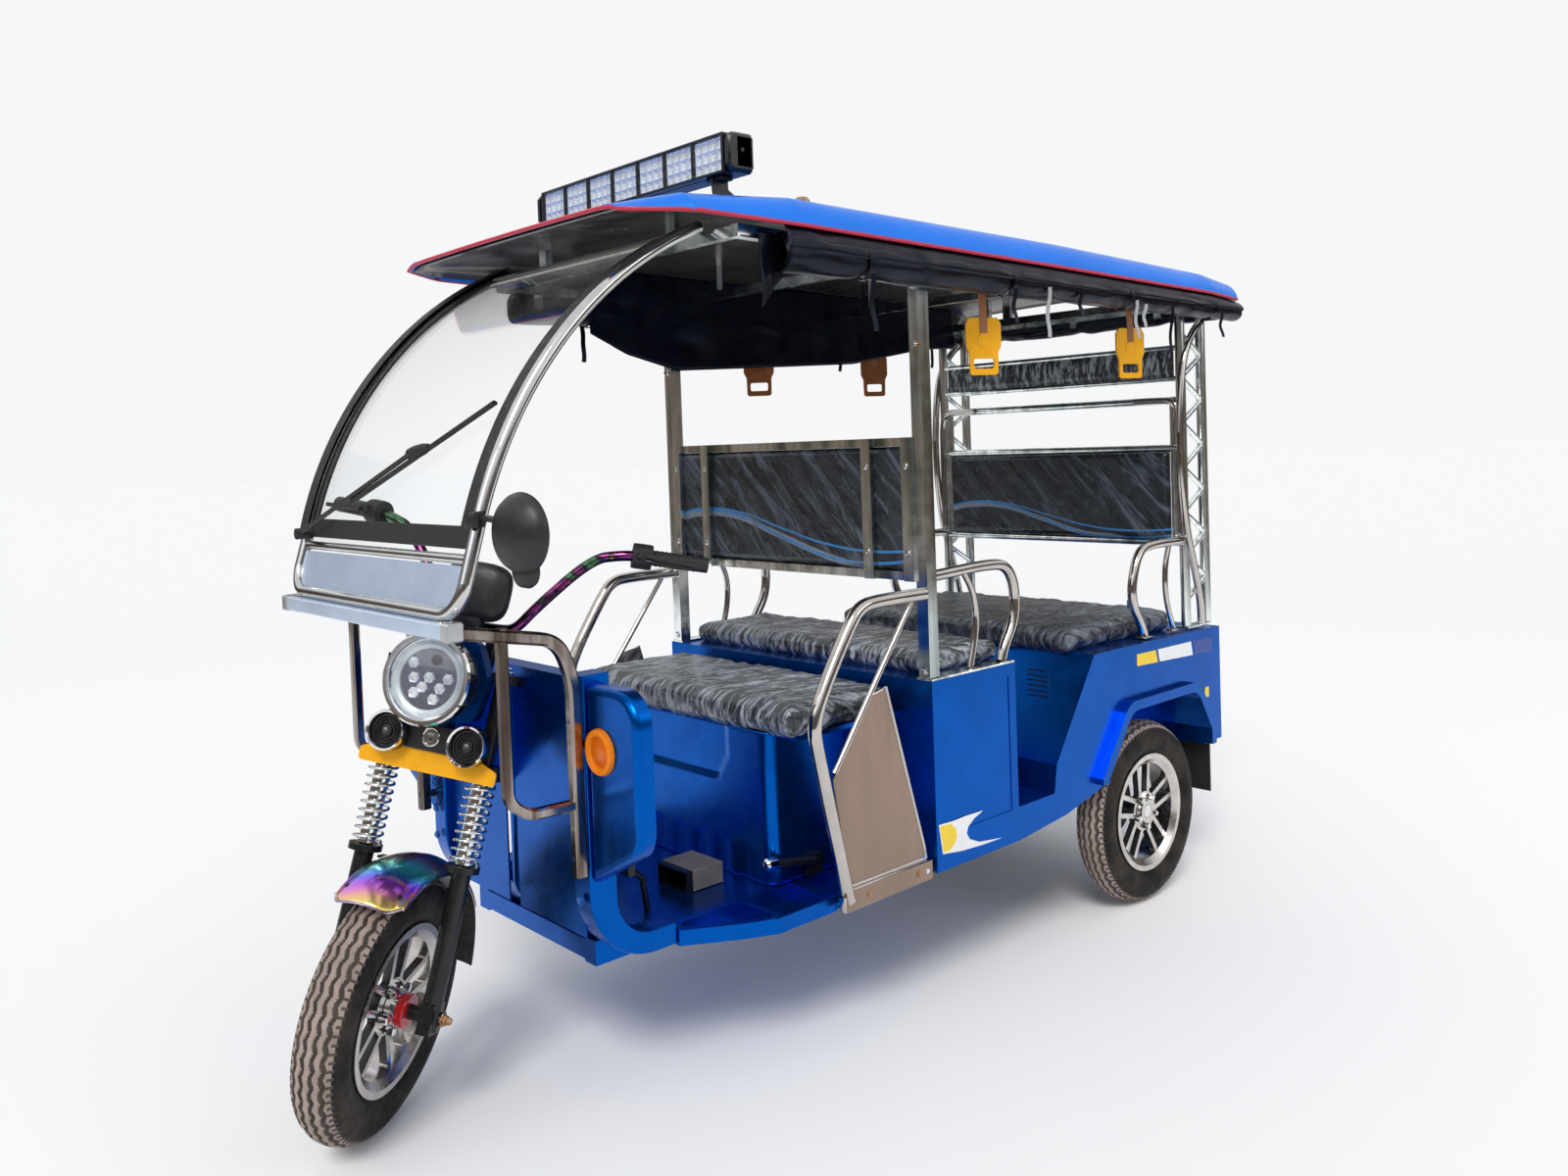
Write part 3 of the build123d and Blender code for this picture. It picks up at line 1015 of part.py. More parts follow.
# Mirror outboard of the left pillar, turned toward the driver
MIRROR_R = 69
MIRROR_T = 26
MIRROR_X = SCREEN_HALF + 99
MIRROR_Y = SCREEN_FACE_Y + 55
MIRROR_Z = 1162
MIRROR_TURN = 20
pillar_y = screen_point(z=MIRROR_Z)[0]
arm_foot = (PILLAR_X + TUBE_R + 5 * LAYER_GAP, pillar_y, MIRROR_Z)
mirror_arm = rod(arm_foot, (MIRROR_X - 20, MIRROR_Y - 2, MIRROR_Z), 7)
mirror_place = Location((MIRROR_X, MIRROR_Y, MIRROR_Z)) * Rot(Z=MIRROR_TURN) * Rot(X=-90)
mirror_case = mirror_place * Cylinder(MIRROR_R, MIRROR_T)
case_rim = mirror_case.edges().filter_by(GeomType.CIRCLE)
nodes["mirror"] = fillet(case_rim, 9) + mirror_arm

# Front guard of square bars: the shelf under the visor, side bars and hanging loops
GUARD = 25
shelf_z = VISOR_Z0 - LAYER_GAP - GUARD / 2
corner_y = sill_y - 10
shelf_y0 = corner_y - GUARD / 2
guard = [
    block(-VISOR_HALF, VISOR_HALF, shelf_y0, shelf_y0 + GUARD, shelf_z - GUARD / 2, shelf_z + GUARD / 2)
]
for side in (-1, 1):
    x = side * (SHIELD_HALF + 1)
    side_points = [
        (x, corner_y, shelf_z), (x, SHIELD_Y - 76, 936), (x, SHIELD_Y - 40, 880), (x, SHIELD_Y - 40, 500),
    ]
    side_bar = tube(side_points, GUARD, 24, round_tube=False)
    drop_y = SHIELD_Y - 185
    drop_points = [(x, drop_y, 968), (x, drop_y, 690), (x, drop_y + 55, 640), (x, SHIELD_Y - 40, 636)]
    drop_bar = tube(drop_points, 20, 28, round_tube=False)
    guard.append(side_bar + drop_bar)
    for z in (532, 742):
        stud_x = side * (SHIELD_HALF - 9)
        guard.append(rod((stud_x, SHIELD_Y - 40, z), (stud_x, SHIELD_Y - LAYER_GAP, z), 8))
nodes["front_guard"] = joined(*guard)

# Hanging grips: yellow plates with a hand slot
grip_parts = []
for y in (-648, -8):
    plate_outline = [(y - 36, 1448), (y + 36, 1448), (y + 36, 1570), (y - 36, 1570)]
    slot_outline = [(y - 24, 1462), (y + 24, 1462), (y + 24, 1482), (y - 24, 1482)]
    plate = slab_x(plate_outline, POST_X - 10, POST_X, 10, (0, 1, 2, 3))
    plate = plate - slab_x(slot_outline, POST_X - 16, POST_X + 4, 8, (0, 1, 2, 3))
    strap = block(POST_X - 8, POST_X - 4, y - 12, y + 12, 1565, side_rail_z(y) - TUBE / 2 - LAYER_GAP - 0.2)
    grip_parts.extend(both_sides(plate + strap))
nodes["hanging_grips"] = pieces(*grip_parts)

# Light bar on two feet over the roof's front
BAR_HALF = 372
BAR_AT_Y = SHIELD_Y + 400
light_bar = block(-BAR_HALF, BAR_HALF, BAR_AT_Y - 32, BAR_AT_Y + 32, 1856, 1938)
light_bar = softened(light_bar, 8)
for side in (-1, 1):
    x = side * 300
    light_bar = light_bar + block(
        x - 20, x + 20, BAR_AT_Y - 12, BAR_AT_Y + 12, roof_height(x, BAR_AT_Y) + 10, 1860,
    )
    light_bar = light_bar + rod((x, BAR_AT_Y, roof_height(x, BAR_AT_Y) + 2.2), (x, BAR_AT_Y, 1858), 10)
nodes["light_bar"] = light_bar

# Tail: lamps, blank plate, bumper and mudflaps
tail = []
for side in (-1, 1):
    lamp_x0 = side * (BODY_HALF - 150)
    tail.append(block(lamp_x0, side * (BODY_HALF - 40), TUB_REAR_Y + LAYER_GAP, TUB_REAR_Y + 26, 560, 640))
tail.append(block(-130, 130, TUB_REAR_Y + LAYER_GAP, TUB_REAR_Y + 6, 560, 660))
nodes["signal_lamps"] = pieces(*both_sides(turn_lamp), *tail)
bumper = tube([(-400, TUB_REAR_Y + 70, 440), (400, TUB_REAR_Y + 70, 440)], 38, across=(0, 0, 1))
for side in (-1, 1):
    bumper = bumper + rod((side * 300, TUB_REAR_Y + LAYER_GAP, 440), (side * 300, TUB_REAR_Y + 70, 440), 14)
nodes["rear_bumper"] = bumper
flap = block(LINER_X + 20, BODY_HALF - 4, 326, 330, 235, 424)
nodes["mudflaps"] = pieces(*both_sides(flap))

# Move the whole vehicle so that the origin is the bottom centre of its bounding box
whole = Compound(children=[Compound(children=shape.solids()) for shape in nodes.values()])
bounds = whole.bounding_box()
shift = Vector(-(bounds.min.X + bounds.max.X) / 2, -(bounds.min.Y + bounds.max.Y) / 2, -bounds.min.Z)
for name, shape in nodes.items():
    export_step(Location(shift) * Compound(children=shape.solids()), f"parts/{name}.step")

print("size", [round(v, 2) for v in (bounds.size.X, bounds.size.Y, bounds.size.Z)])
print("shift", [round(v, 3) for v in (shift.X, shift.Y, shift.Z)])
front_axle = fork_plane.from_local_coords((0, -AXLE_OFFSET, 0)) + shift
print("fork origin", [round(v, 3) for v in (fork_origin + shift)])
print("front axle", [round(v, 3) for v in front_axle], "fork x", [round(v, 5) for v in fork_x])
print("steering axis", [round(v, 5) for v in steer_axis])
print(len(nodes), "nodes")
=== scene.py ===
import json
import math

import bmesh
import bpy
import numpy as np
from mathutils import Matrix, Vector, geometry
from mathutils import noise as mathnoise


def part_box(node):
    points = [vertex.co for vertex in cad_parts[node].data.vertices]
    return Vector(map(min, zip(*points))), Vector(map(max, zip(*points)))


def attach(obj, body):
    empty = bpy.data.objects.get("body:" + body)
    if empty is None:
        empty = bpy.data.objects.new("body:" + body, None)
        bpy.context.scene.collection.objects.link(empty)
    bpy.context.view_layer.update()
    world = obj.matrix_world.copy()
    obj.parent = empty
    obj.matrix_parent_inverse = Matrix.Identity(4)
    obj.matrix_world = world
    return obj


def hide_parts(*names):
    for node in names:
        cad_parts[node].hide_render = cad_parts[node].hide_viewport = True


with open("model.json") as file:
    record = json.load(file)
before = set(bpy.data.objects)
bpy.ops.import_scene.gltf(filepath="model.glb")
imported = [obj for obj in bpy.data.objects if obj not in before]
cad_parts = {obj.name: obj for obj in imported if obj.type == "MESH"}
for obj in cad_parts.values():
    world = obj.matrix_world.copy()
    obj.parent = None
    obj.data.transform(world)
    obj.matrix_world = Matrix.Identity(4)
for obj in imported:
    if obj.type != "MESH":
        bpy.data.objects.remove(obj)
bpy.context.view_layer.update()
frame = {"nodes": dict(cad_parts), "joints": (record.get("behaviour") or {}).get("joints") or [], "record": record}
nodes = frame["nodes"]

# Millimetres from the rear axle on the ground to metres in the row's frame
SHIFT = Vector((0.0, 0.870801, 0.00014))


def at(x, y, z):
    return Vector((x / 1000, y / 1000, z / 1000)) + SHIFT


# Fork frame: x across, y rearward, z up the steering axis, from the point level with the front axle
RAKE = math.radians(17.0)
STEER = math.radians(37.0)
fork_up = Vector((0.0, math.sin(RAKE), math.cos(RAKE)))
fork_back = Vector((0.0, math.cos(RAKE), -math.sin(RAKE)))
fork_x = Vector((1, 0, 0)) * math.cos(STEER) + fork_back * math.sin(STEER)
fork_y = fork_up.cross(fork_x)
fork_origin = Vector(next(j for j in frame["joints"] if j["name"] == "steering")["pos_m"])


def on_fork(x, y, z):
    return fork_origin + (fork_x * x + fork_y * y + fork_up * z) / 1000


# Camera
scene = bpy.context.scene
look = Vector((-0.74229, 0.66919, -0.03464)).normalized()
azimuth = math.radians(47.965)
roll = math.radians(-2.042)
right = Vector((math.cos(azimuth), math.sin(azimuth), 0))
up = right.cross(look)
cam_right = right * math.cos(roll) + up * math.sin(roll)
cam_up = up * math.cos(roll) - right * math.sin(roll)
cam_data = bpy.data.cameras.new("camera")
camera = bpy.data.objects.new("camera", cam_data)
scene.collection.objects.link(camera)
camera.matrix_world = Matrix.Translation((2.254, -2.0872, 1.291)) @ Matrix(
    (cam_right, cam_up, -look)).transposed().to_4x4()
cam_data.sensor_width = 36
cam_data.lens = 27.76
cam_data.shift_x = 0.006
cam_data.shift_y = -0.0632
cam_data.clip_start = 0.05
cam_data.clip_end = 100
scene.camera = camera
scene.view_settings.view_transform = "Standard"

# Blender draws its noise vector anew from the clock at every start, unless it is told which draw to take
FOLD_DRAW = 1796065232
mathnoise.seed_set(FOLD_DRAW)


# Materials
def new_material(name):
    material = bpy.data.materials.new(name)
    material.use_nodes = True
    tree = material.node_tree
    return material, tree, tree.nodes["Principled BSDF"]


def node(tree, kind, **values):
    made = tree.nodes.new("ShaderNode" + kind)
    for key, value in values.items():
        if key in made.inputs.keys():
            made.inputs[key].default_value = value
        else:
            setattr(made, key, value)
    return made


def feed(tree, made, *sources):
    """Gives a node's inputs their values in order: a socket is linked, a value is set, None is left."""
    for socket, source in zip(made.inputs, sources):
        if isinstance(source, bpy.types.NodeSocket):
            tree.links.new(source, socket)
        elif source is not None:
            socket.default_value = source
    return made


def calculate(tree, operation, *sources):
    return feed(tree, node(tree, "Math", operation=operation), *sources).outputs[0]


def vector_calculate(tree, operation, *sources):
    return feed(tree, node(tree, "VectorMath", operation=operation), *sources)


def coords(tree, output="Object"):
    found = [n for n in tree.nodes if n.bl_idname == "ShaderNodeTexCoord"]
    return (found[0] if found else node(tree, "TexCoord")).outputs[output]


def split_axes(tree, source):
    return feed(tree, node(tree, "SeparateXYZ"), source).outputs


def mapped(tree, source, scale=(1, 1, 1), rotation=(0, 0, 0)):
    made = node(tree, "Mapping", Scale=scale, Rotation=rotation)
    tree.links.new(source, made.inputs["Vector"])
    return made.outputs["Vector"]


def noise(tree, scale, detail=3.0, rough=0.5, stretch=None, place=None, distortion=0.0, kind="FBM"):
    made = node(tree, "TexNoise", noise_type=kind)
    settings = {"Scale": scale, "Detail": detail, "Roughness": rough, "Distortion": distortion}
    for key, value in settings.items():
        made.inputs[key].default_value = value
    place = place or coords(tree)
    tree.links.new(mapped(tree, place, stretch) if stretch else place, made.inputs["Vector"])
    return made.outputs["Fac"]


def ramp(tree, source, stops):
    made = node(tree, "ValToRGB")
    while len(made.color_ramp.elements) < len(stops):
        made.color_ramp.elements.new(0.5)
    for element, (place, colour) in zip(made.color_ramp.elements, stops):
        element.position = place
        element.color = (*colour, 1)
    tree.links.new(source, made.inputs["Fac"])
    return made.outputs["Color"]


def blend(tree, factor, first, second):
    """One colour over another; each is a socket or three numbers."""
    made = node(tree, "Mix", data_type="RGBA")
    tree.links.new(factor, made.inputs["Factor"])
    for key, colour in (("A", first), ("B", second)):
        if isinstance(colour, tuple):
            made.inputs[key].default_value = (*colour, 1)
        else:
            tree.links.new(colour, made.inputs[key])
    return made.outputs["Result"]


def remap(tree, source, low, high, from_low=0.3, from_high=0.7):
    made = node(tree, "MapRange")
    for key, value in (("From Min", from_low), ("From Max", from_high), ("To Min", low), ("To Max", high)):
        made.inputs[key].default_value = value
    tree.links.new(source, made.inputs["Value"])
    return made.outputs["Result"]


def add_bump(tree, shader, source, strength, distance):
    bump = node(tree, "Bump", Strength=strength, Distance=distance)
    tree.links.new(source, bump.inputs["Height"])
    earlier = shader.inputs["Normal"].links
    if earlier:
        tree.links.new(earlier[0].from_socket, bump.inputs["Normal"])
    tree.links.new(bump.outputs["Normal"], shader.inputs["Normal"])


def finish(tree, shader, colour, rough, **values):
    """Links the colour and roughness, and sets the other sockets of the shader."""
    tree.links.new(colour, shader.inputs["Base Color"])
    tree.links.new(rough, shader.inputs["Roughness"])
    for key, value in values.items():
        shader.inputs[key.replace("_", " ")].default_value = value


def shade(name, colour, rough, metallic=0.0, vary=0.12, scale=30.0, rough_vary=0.25, grain=0.0,
          grain_scale=900.0, stretch=None, dust=None, dust_share=0.0, **sockets):
    """A principled material whose colour, roughness and relief wander with noise."""
    material, tree, shader = new_material(name)
    low = [max(c * (1 - vary), 0) for c in colour]
    high = [min(c * (1 + vary), 1) for c in colour]
    tint = ramp(tree, noise(tree, scale, 4.0, 0.6, stretch), [(0.3, low), (0.7, high)])
    if dust:
        patches = noise(tree, scale * 0.37, 6.0, 0.65)
        tint = blend(tree, remap(tree, patches, 0.0, dust_share, 0.4, 0.7), tint, dust)
    wander = noise(tree, scale * 2.3, 5.0, 0.6, stretch)
    spread = rough * rough_vary
    roughness = remap(tree, wander, max(rough - spread, 0.02), min(rough + spread, 1))
    finish(tree, shader, tint, roughness, Metallic=metallic, **sockets)
    if grain:
        add_bump(tree, shader, noise(tree, grain_scale, 2.0, 0.5), grain, 0.0004)
    return material


# name: (colour, roughness, how metallic, further settings)
PLAIN_LOOKS = {
    "body_paint": ((0.001, 0.098, 0.47), 0.27, 0.92, dict(
        vary=0.06, scale=6, Specular_IOR_Level=0.1, grain=0.03, grain_scale=260)),
    "stainless": ((0.60, 0.60, 0.585), 0.12, 1.0, dict(
        vary=0.1, scale=18, rough_vary=0.5, grain=0.04, grain_scale=500)),
    "black_metal": ((0.01, 0.01, 0.011), 0.25, 0.0, dict(vary=0.3, grain=0.1, Specular_IOR_Level=0.4)),
    "cast": ((0.045, 0.045, 0.048), 0.62, 0.3, dict(vary=0.25, grain=0.5, grain_scale=300)),
    "chrome": ((0.8, 0.8, 0.8), 0.07, 1.0, dict(vary=0.06, rough_vary=0.6)),
    "alloy": ((0.5, 0.48, 0.46), 0.28, 0.9, {}),
    "tyre": ((0.010, 0.0095, 0.009), 0.6, 0.0, dict(
        dust=(0.075, 0.058, 0.048), dust_share=0.6, grain=0.4, Specular_IOR_Level=0.15)),
    "rubber": ((0.014, 0.014, 0.014), 0.6, 0.0, dict(grain=0.3)),
    "vinyl": ((0.014, 0.014, 0.016), 0.3, 0.0, dict(grain=0.2)),
    "plastic": ((0.013, 0.013, 0.014), 0.4, 0.0, dict(grain=0.3)),
    "yellow": ((0.82, 0.38, 0.008), 0.3, 0.0, dict(vary=0.06, Specular_IOR_Level=0.25)),
    "orange": ((0.80, 0.21, 0.004), 0.2, 0.0, dict(vary=0.06, Specular_IOR_Level=0.3)),
    "orange_deep": ((0.6, 0.12, 0.002), 0.16, 0.0, dict(vary=0.08, Specular_IOR_Level=0.4)),
    # The visor is satin steel; its blue tint is a painted sky reflection
    "visor": ((0.58, 0.69, 0.86), 0.24, 0.45, dict(vary=0.05, scale=8)),
    "rainbow": ((0.3, 0.15, 0.45), 0.18, 0.9, {}),
    "battery": ((0.1, 0.1, 0.11), 0.5, 0.0, {}),
    "lamp": ((0.75, 0.77, 0.8), 0.12, 0.6, {}),
    "strap_silver": ((0.5, 0.5, 0.52), 0.3, 0.3, {}),
    "crimson": ((0.48, 0.012, 0.05), 0.35, 0.0, dict(vary=0.1)),
    "liner": ((0.045, 0.04, 0.038), 0.22, 0.0, dict(vary=0.3, scale=5, grain=0.2, grain_scale=60)),
    "reflector": ((0.84, 0.86, 0.92), 0.3, 0.45, dict(vary=0.04, grain=0.2, grain_scale=400)),
    "led": ((0.86, 0.84, 0.7), 0.2, 0.0, dict(vary=0.05)),
    "frosted": ((0.72, 0.75, 0.78), 0.35, 0.2, dict(vary=0.08, grain=0.4, grain_scale=300)),
    "lamp_disc": ((0.3, 0.3, 0.36), 0.2, 0.75, dict(vary=0.15, scale=60)),
    "blue_steel": ((0.02, 0.12, 0.42), 0.25, 0.6, {}),
    "fender_lip": ((0.62, 0.5, 0.62), 0.16, 0.95, dict(vary=0.2, scale=12)),
    "hub_red": ((0.55, 0.01, 0.015), 0.25, 0.1, dict(Coat_Weight=0.6)),
    "brass": ((0.42, 0.25, 0.14), 0.3, 0.95, {}),
    "shelf_block": ((0.62, 0.64, 0.68), 0.22, 0.8, {}),
    # Painted shade: the yellow grip plastic made darker, for the right-hand grips
    "shaded_grip_yellow": ((0.26, 0.075, 0.012), 0.3, 0.0, dict(vary=0.15)),
    "grip_strap": ((0.30, 0.12, 0.05), 0.6, 0.0, {}),
    "warm_steel": ((0.31, 0.225, 0.178), 0.22, 0.95, dict(scale=7, stretch=(1, 1, 0.15), rough_vary=0.5)),
    "sticker_yellow": ((0.86, 0.6, 0.03), 0.35, 0.0, dict(vary=0.05)),
    "sticker_white": ((0.8, 0.81, 0.83), 0.35, 0.0, dict(vary=0.04)),
    "sticker_navy": ((0.02, 0.06, 0.3), 0.35, 0.0, dict(vary=0.1)),
    "groove": ((0.07, 0.055, 0.048), 0.8, 0.0, dict(vary=0.2)),
    "tread": ((0.30, 0.235, 0.205), 0.85, 0.0, dict(
        vary=0.2, scale=18, dust=(0.42, 0.335, 0.30), dust_share=0.7, grain=0.5, grain_scale=500)),
    "roof_vinyl": ((0.02, 0.19, 0.78), 0.3, 0.15, dict(
        vary=0.08, scale=3, Specular_IOR_Level=0.12, grain=0.04, grain_scale=200)),
    "khaki": ((0.24, 0.21, 0.175), 0.4, 0.2, dict(vary=0.2, scale=25)),
    "rail_steel": ((0.56, 0.52, 0.49), 0.1, 1.0, dict(vary=0.15, scale=9, rough_vary=0.5)),
    "cap_blue": ((0.01, 0.16, 0.75), 0.35, 0.0, dict(vary=0.05)),
    "clear_dark": ((0.01, 0.012, 0.014), 0.08, 0.0, dict(Coat_Weight=0.8)),
    "tail_red": ((0.42, 0.006, 0.008), 0.18, 0.0, dict(vary=0.08, Coat_Weight=0.4)),
    "plate_white": ((0.7, 0.71, 0.72), 0.35, 0.0, dict(vary=0.03)),
}
looks = {name: shade(name, colour, rough, metallic, **more)
         for name, (colour, rough, metallic, more) in PLAIN_LOOKS.items()}


def draw_stripes(tree, base, stripes, box):
    """Bands of colour over a base, each along a curve of (u, v) across the box (x0, x1, z0, z1) in metres."""
    x0, x1, z0, z1 = box
    axes = split_axes(tree, coords(tree))
    u, v = remap(tree, axes["X"], 0.0, 1.0, x0, x1), remap(tree, axes["Z"], 0.0, 1.0, z0, z1)
    for colour, width, line in stripes:
        curve = node(tree, "FloatCurve")
        points = curve.mapping.curves[0].points
        while len(points) < len(line):
            points.new(0.5, 0.5)
        for point, place in zip(points, line):
            point.location = place
        curve.mapping.update()
        tree.links.new(u, curve.inputs["Value"])
        away = calculate(tree, "ABSOLUTE", calculate(tree, "SUBTRACT", v, curve.outputs["Value"]))
        base = blend(tree, remap(tree, away, 1.0, 0.0, width * 0.5, width * 0.5 + 0.006), base, colour)
    return base


def filmed(name, stripes=None, box=None, film_glint=(0.12, 0.15, 0.2), reach=1.2, scale=9.0):
    """Black vinyl under wrinkled clear plastic wrap: its highlights are painted into the colour, a pale tone on
    noise ridges and streaks, with bands drawn in the cloth.
    """
    material, tree, shader = new_material(name)
    seat = stripes is None
    base = ramp(tree, noise(tree, 24, 4, 0.6), [(0.3, (0.008, 0.009, 0.011)), (0.72, (0.024, 0.026, 0.031))])
    if stripes:
        base = draw_stripes(tree, base, stripes, box)
    bent = noise(tree, 7.0, 5.0, 0.62)
    drawn = mapped(tree, coords(tree), (1.5, 0.55, 1.0) if seat else (1.0, 1.0, 0.45),
                   (0, 0, 0.25) if seat else (0, 0.7, 0))
    ridge = noise(tree, scale, 6.0, 0.6, place=drawn, distortion=1.4, kind="RIDGED_MULTIFRACTAL")
    haze = remap(tree, ridge, 0.04, 0.5 * reach, 0.4, 1.5)
    patch = remap(tree, bent, 0.55 if seat else 0.2, 1.0, 0.42, 0.62)
    turned = mapped(tree, coords(tree), rotation=(0, 0, 0.3) if seat else (0, 0.75, 0))
    drawn_out = mapped(tree, turned, (7.5, 1.0, 1.8) if seat else (6.0, 1.0, 1.0))
    threads = noise(tree, 11.0 if seat else 5.0, 5.0, 0.68, place=drawn_out, distortion=0.3 if seat else 0.7)
    streaks = remap(tree, threads, 0.0, 1.0 if seat else 0.7, 0.46 if seat else 0.52, 0.63)
    # Painted highlight: the pale colour is laid over the black where the wrinkle ridges and streaks would catch
    # the light
    glint_mask = calculate(tree, "MAXIMUM", calculate(tree, "MULTIPLY", haze, patch), streaks)
    finish(tree, shader, blend(tree, glint_mask, base, film_glint), remap(tree, bent, 0.12, 0.3),
           Specular_Tint=(0.75, 0.87, 1.0, 1), Coat_Weight=0.35, Coat_Roughness=0.06)
    add_bump(tree, shader, ridge, 0.5, 0.004)
    add_bump(tree, shader, threads, 0.7, 0.008)
    return material


BLUE_LINE, SILVER_BAND = (0.03, 0.25, 0.62), (0.23, 0.27, 0.34)
WAVES = [
    (SILVER_BAND, 0.05,
     [(0, 0.36), (0.1, 0.42), (0.25, 0.42), (0.45, 0.27), (0.65, 0.10), (0.8, 0.0), (1, -0.2)]),
    (BLUE_LINE, 0.014,
     [(0, 0.40), (0.12, 0.47), (0.28, 0.45), (0.5, 0.30), (0.65, 0.20), (0.8, 0.15), (1, 0.17)]),
    (BLUE_LINE, 0.016,
     [(0, 0.40), (0.12, 0.46), (0.28, 0.42), (0.5, 0.22), (0.7, 0.07), (0.85, 0.05), (1, 0.10)]),
]
LOWER_WAVES = [(colour, width, [(u, v - 0.06) for u, v in line]) for colour, width, line in WAVES]
# The pale colours given here are painted highlights on the wrinkled wrap; the rear cushion's is dimmer
looks["rear_film"] = filmed("rear_film", film_glint=(0.17, 0.19, 0.23), reach=1.5, scale=20.0)
looks["film_vinyl"] = filmed("film_vinyl", film_glint=(0.48, 0.52, 0.58), reach=1.5, scale=20.0)
looks["driver_pad"] = filmed("driver_pad", WAVES, (-0.436, 0.436, 0.99544, 1.28184))
looks["rear_pad"] = filmed("rear_pad", LOWER_WAVES, (-0.404, 0.404, 0.98114, 1.23514))


def clear_look(name, colour, haze):
    """A thin clear cover: mostly transparent, brighter where it is seen edge on."""
    material, tree, shader = new_material(name)
    tree.nodes.remove(shader)
    through = node(tree, "BsdfTransparent", Color=(*colour, 1))
    gloss = node(tree, "BsdfGlossy")
    tree.links.new(remap(tree, noise(tree, 80), 0.02, 0.06), gloss.inputs["Roughness"])
    rim = node(tree, "LayerWeight", Blend=0.35)
    more = remap(tree, rim.outputs["Facing"], haze, 0.9, 0.45, 1.0)
    mix = feed(tree, node(tree, "MixShader"), more, through.outputs[0], gloss.outputs[0])
    tree.links.new(mix.outputs[0], tree.nodes["Material Output"].inputs["Surface"])
    return material


def fender_look(name):
    """Heat-tinted chrome: gold at the front lip, then purple, blue and green, dark over the top."""
    material, tree, shader = new_material(name)
    axes = split_axes(tree, coords(tree, "UV"))
    bent = calculate(tree, "MULTIPLY_ADD", axes["Y"], -0.05, axes["X"])
    wave = calculate(tree, "MULTIPLY_ADD", noise(tree, 9.0, 2.0, 0.5), 0.05, bent)
    tint = ramp(tree, wave, [
        (0.0, (0.9, 0.68, 0.18)), (0.03, (0.88, 0.52, 0.25)), (0.07, (0.8, 0.22, 0.6)),
        (0.12, (0.42, 0.08, 0.85)), (0.17, (0.08, 0.12, 0.9)), (0.22, (0.04, 0.45, 0.8)),
        (0.28, (0.08, 0.62, 0.42)), (0.34, (0.2, 0.3, 0.2)), (0.42, (0.30, 0.08, 0.16)),
        (0.50, (0.05, 0.02, 0.05)), (0.68, (0.012, 0.012, 0.03)), (1.0, (0.01, 0.01, 0.015)),
    ])
    finish(tree, shader, tint, remap(tree, noise(tree, 40), 0.1, 0.2), Metallic=0.85, Coat_Weight=0.6,
           Coat_Roughness=0.05)
    return material


def alloy_look(name, obj, centre, axle):
    """Cast wheel: machined bright where it faces along the axle and at the polished barrel, dark between."""
    material, tree, shader = new_material(name)
    inward = obj.matrix_world.inverted()
    local_centre, local_axle = inward @ centre, (inward.to_3x3() @ axle).normalized()
    facing = vector_calculate(tree, "DOT_PRODUCT", coords(tree, "Normal"), local_axle)
    flat = calculate(tree, "ABSOLUTE", facing.outputs["Value"])
    from_centre = vector_calculate(tree, "SUBTRACT", coords(tree), local_centre)
    outward = vector_calculate(tree, "CROSS_PRODUCT", from_centre.outputs[0], local_axle)
    radius = vector_calculate(tree, "LENGTH", outward.outputs[0]).outputs["Value"]
    barrel = remap(tree, radius, 0, 1, 0.1275, 0.1295)
    bright = calculate(tree, "MAXIMUM", remap(tree, flat, 0, 1, 0.9, 0.97), barrel)
    dark = ramp(tree, noise(tree, 50), [(0.3, (0.012, 0.012, 0.013)), (0.7, (0.03, 0.03, 0.032))])
    pale = ramp(tree, noise(tree, 35), [(0.3, (0.55, 0.51, 0.48)), (0.7, (0.72, 0.69, 0.66))])
    finish(tree, shader, blend(tree, bright, dark, pale), remap(tree, noise(tree, 90), 0.16, 0.3))
    tree.links.new(bright, shader.inputs["Metallic"])
    return material


def reflection_streaked(name, stops, rough, stretch, scale):
    """Polished tube whose colour holds long streaks of several tones: painted reflections of light and dark
    surroundings.
    """
    material, tree, shader = new_material(name)
    tint = ramp(tree, noise(tree, scale, 3.0, 0.6, stretch), stops)
    finish(tree, shader, tint, remap(tree, noise(tree, 30), rough * 0.7, rough * 1.4), Metallic=1.0)
    return material


def sheen_painted_oilcloth(name, dark, pale):
    """Black coated cloth with soft folds drawn by a ridged noise: the colour is painted pale on the fold ridges as
    a sheen and dark between them, and the folds are bumped.
    """
    material, tree, shader = new_material(name)
    fold = noise(tree, 8.0, 3.0, 0.45, (1.0, 0.6, 1.0), distortion=0.9, kind="RIDGED_MULTIFRACTAL")
    # Painted sheen and shade: the pale colour on the fold ridges, the dark one between them
    tint = ramp(tree, fold, [(0.3, dark), (0.95, pale)])
    finish(tree, shader, tint, remap(tree, noise(tree, 12), 0.2, 0.42), Specular_IOR_Level=0.28,
           Specular_Tint=(0.6, 0.68, 1.0, 1))
    add_bump(tree, shader, fold, 1.0, 0.014)
    return material


looks["fender"] = fender_look("fender")
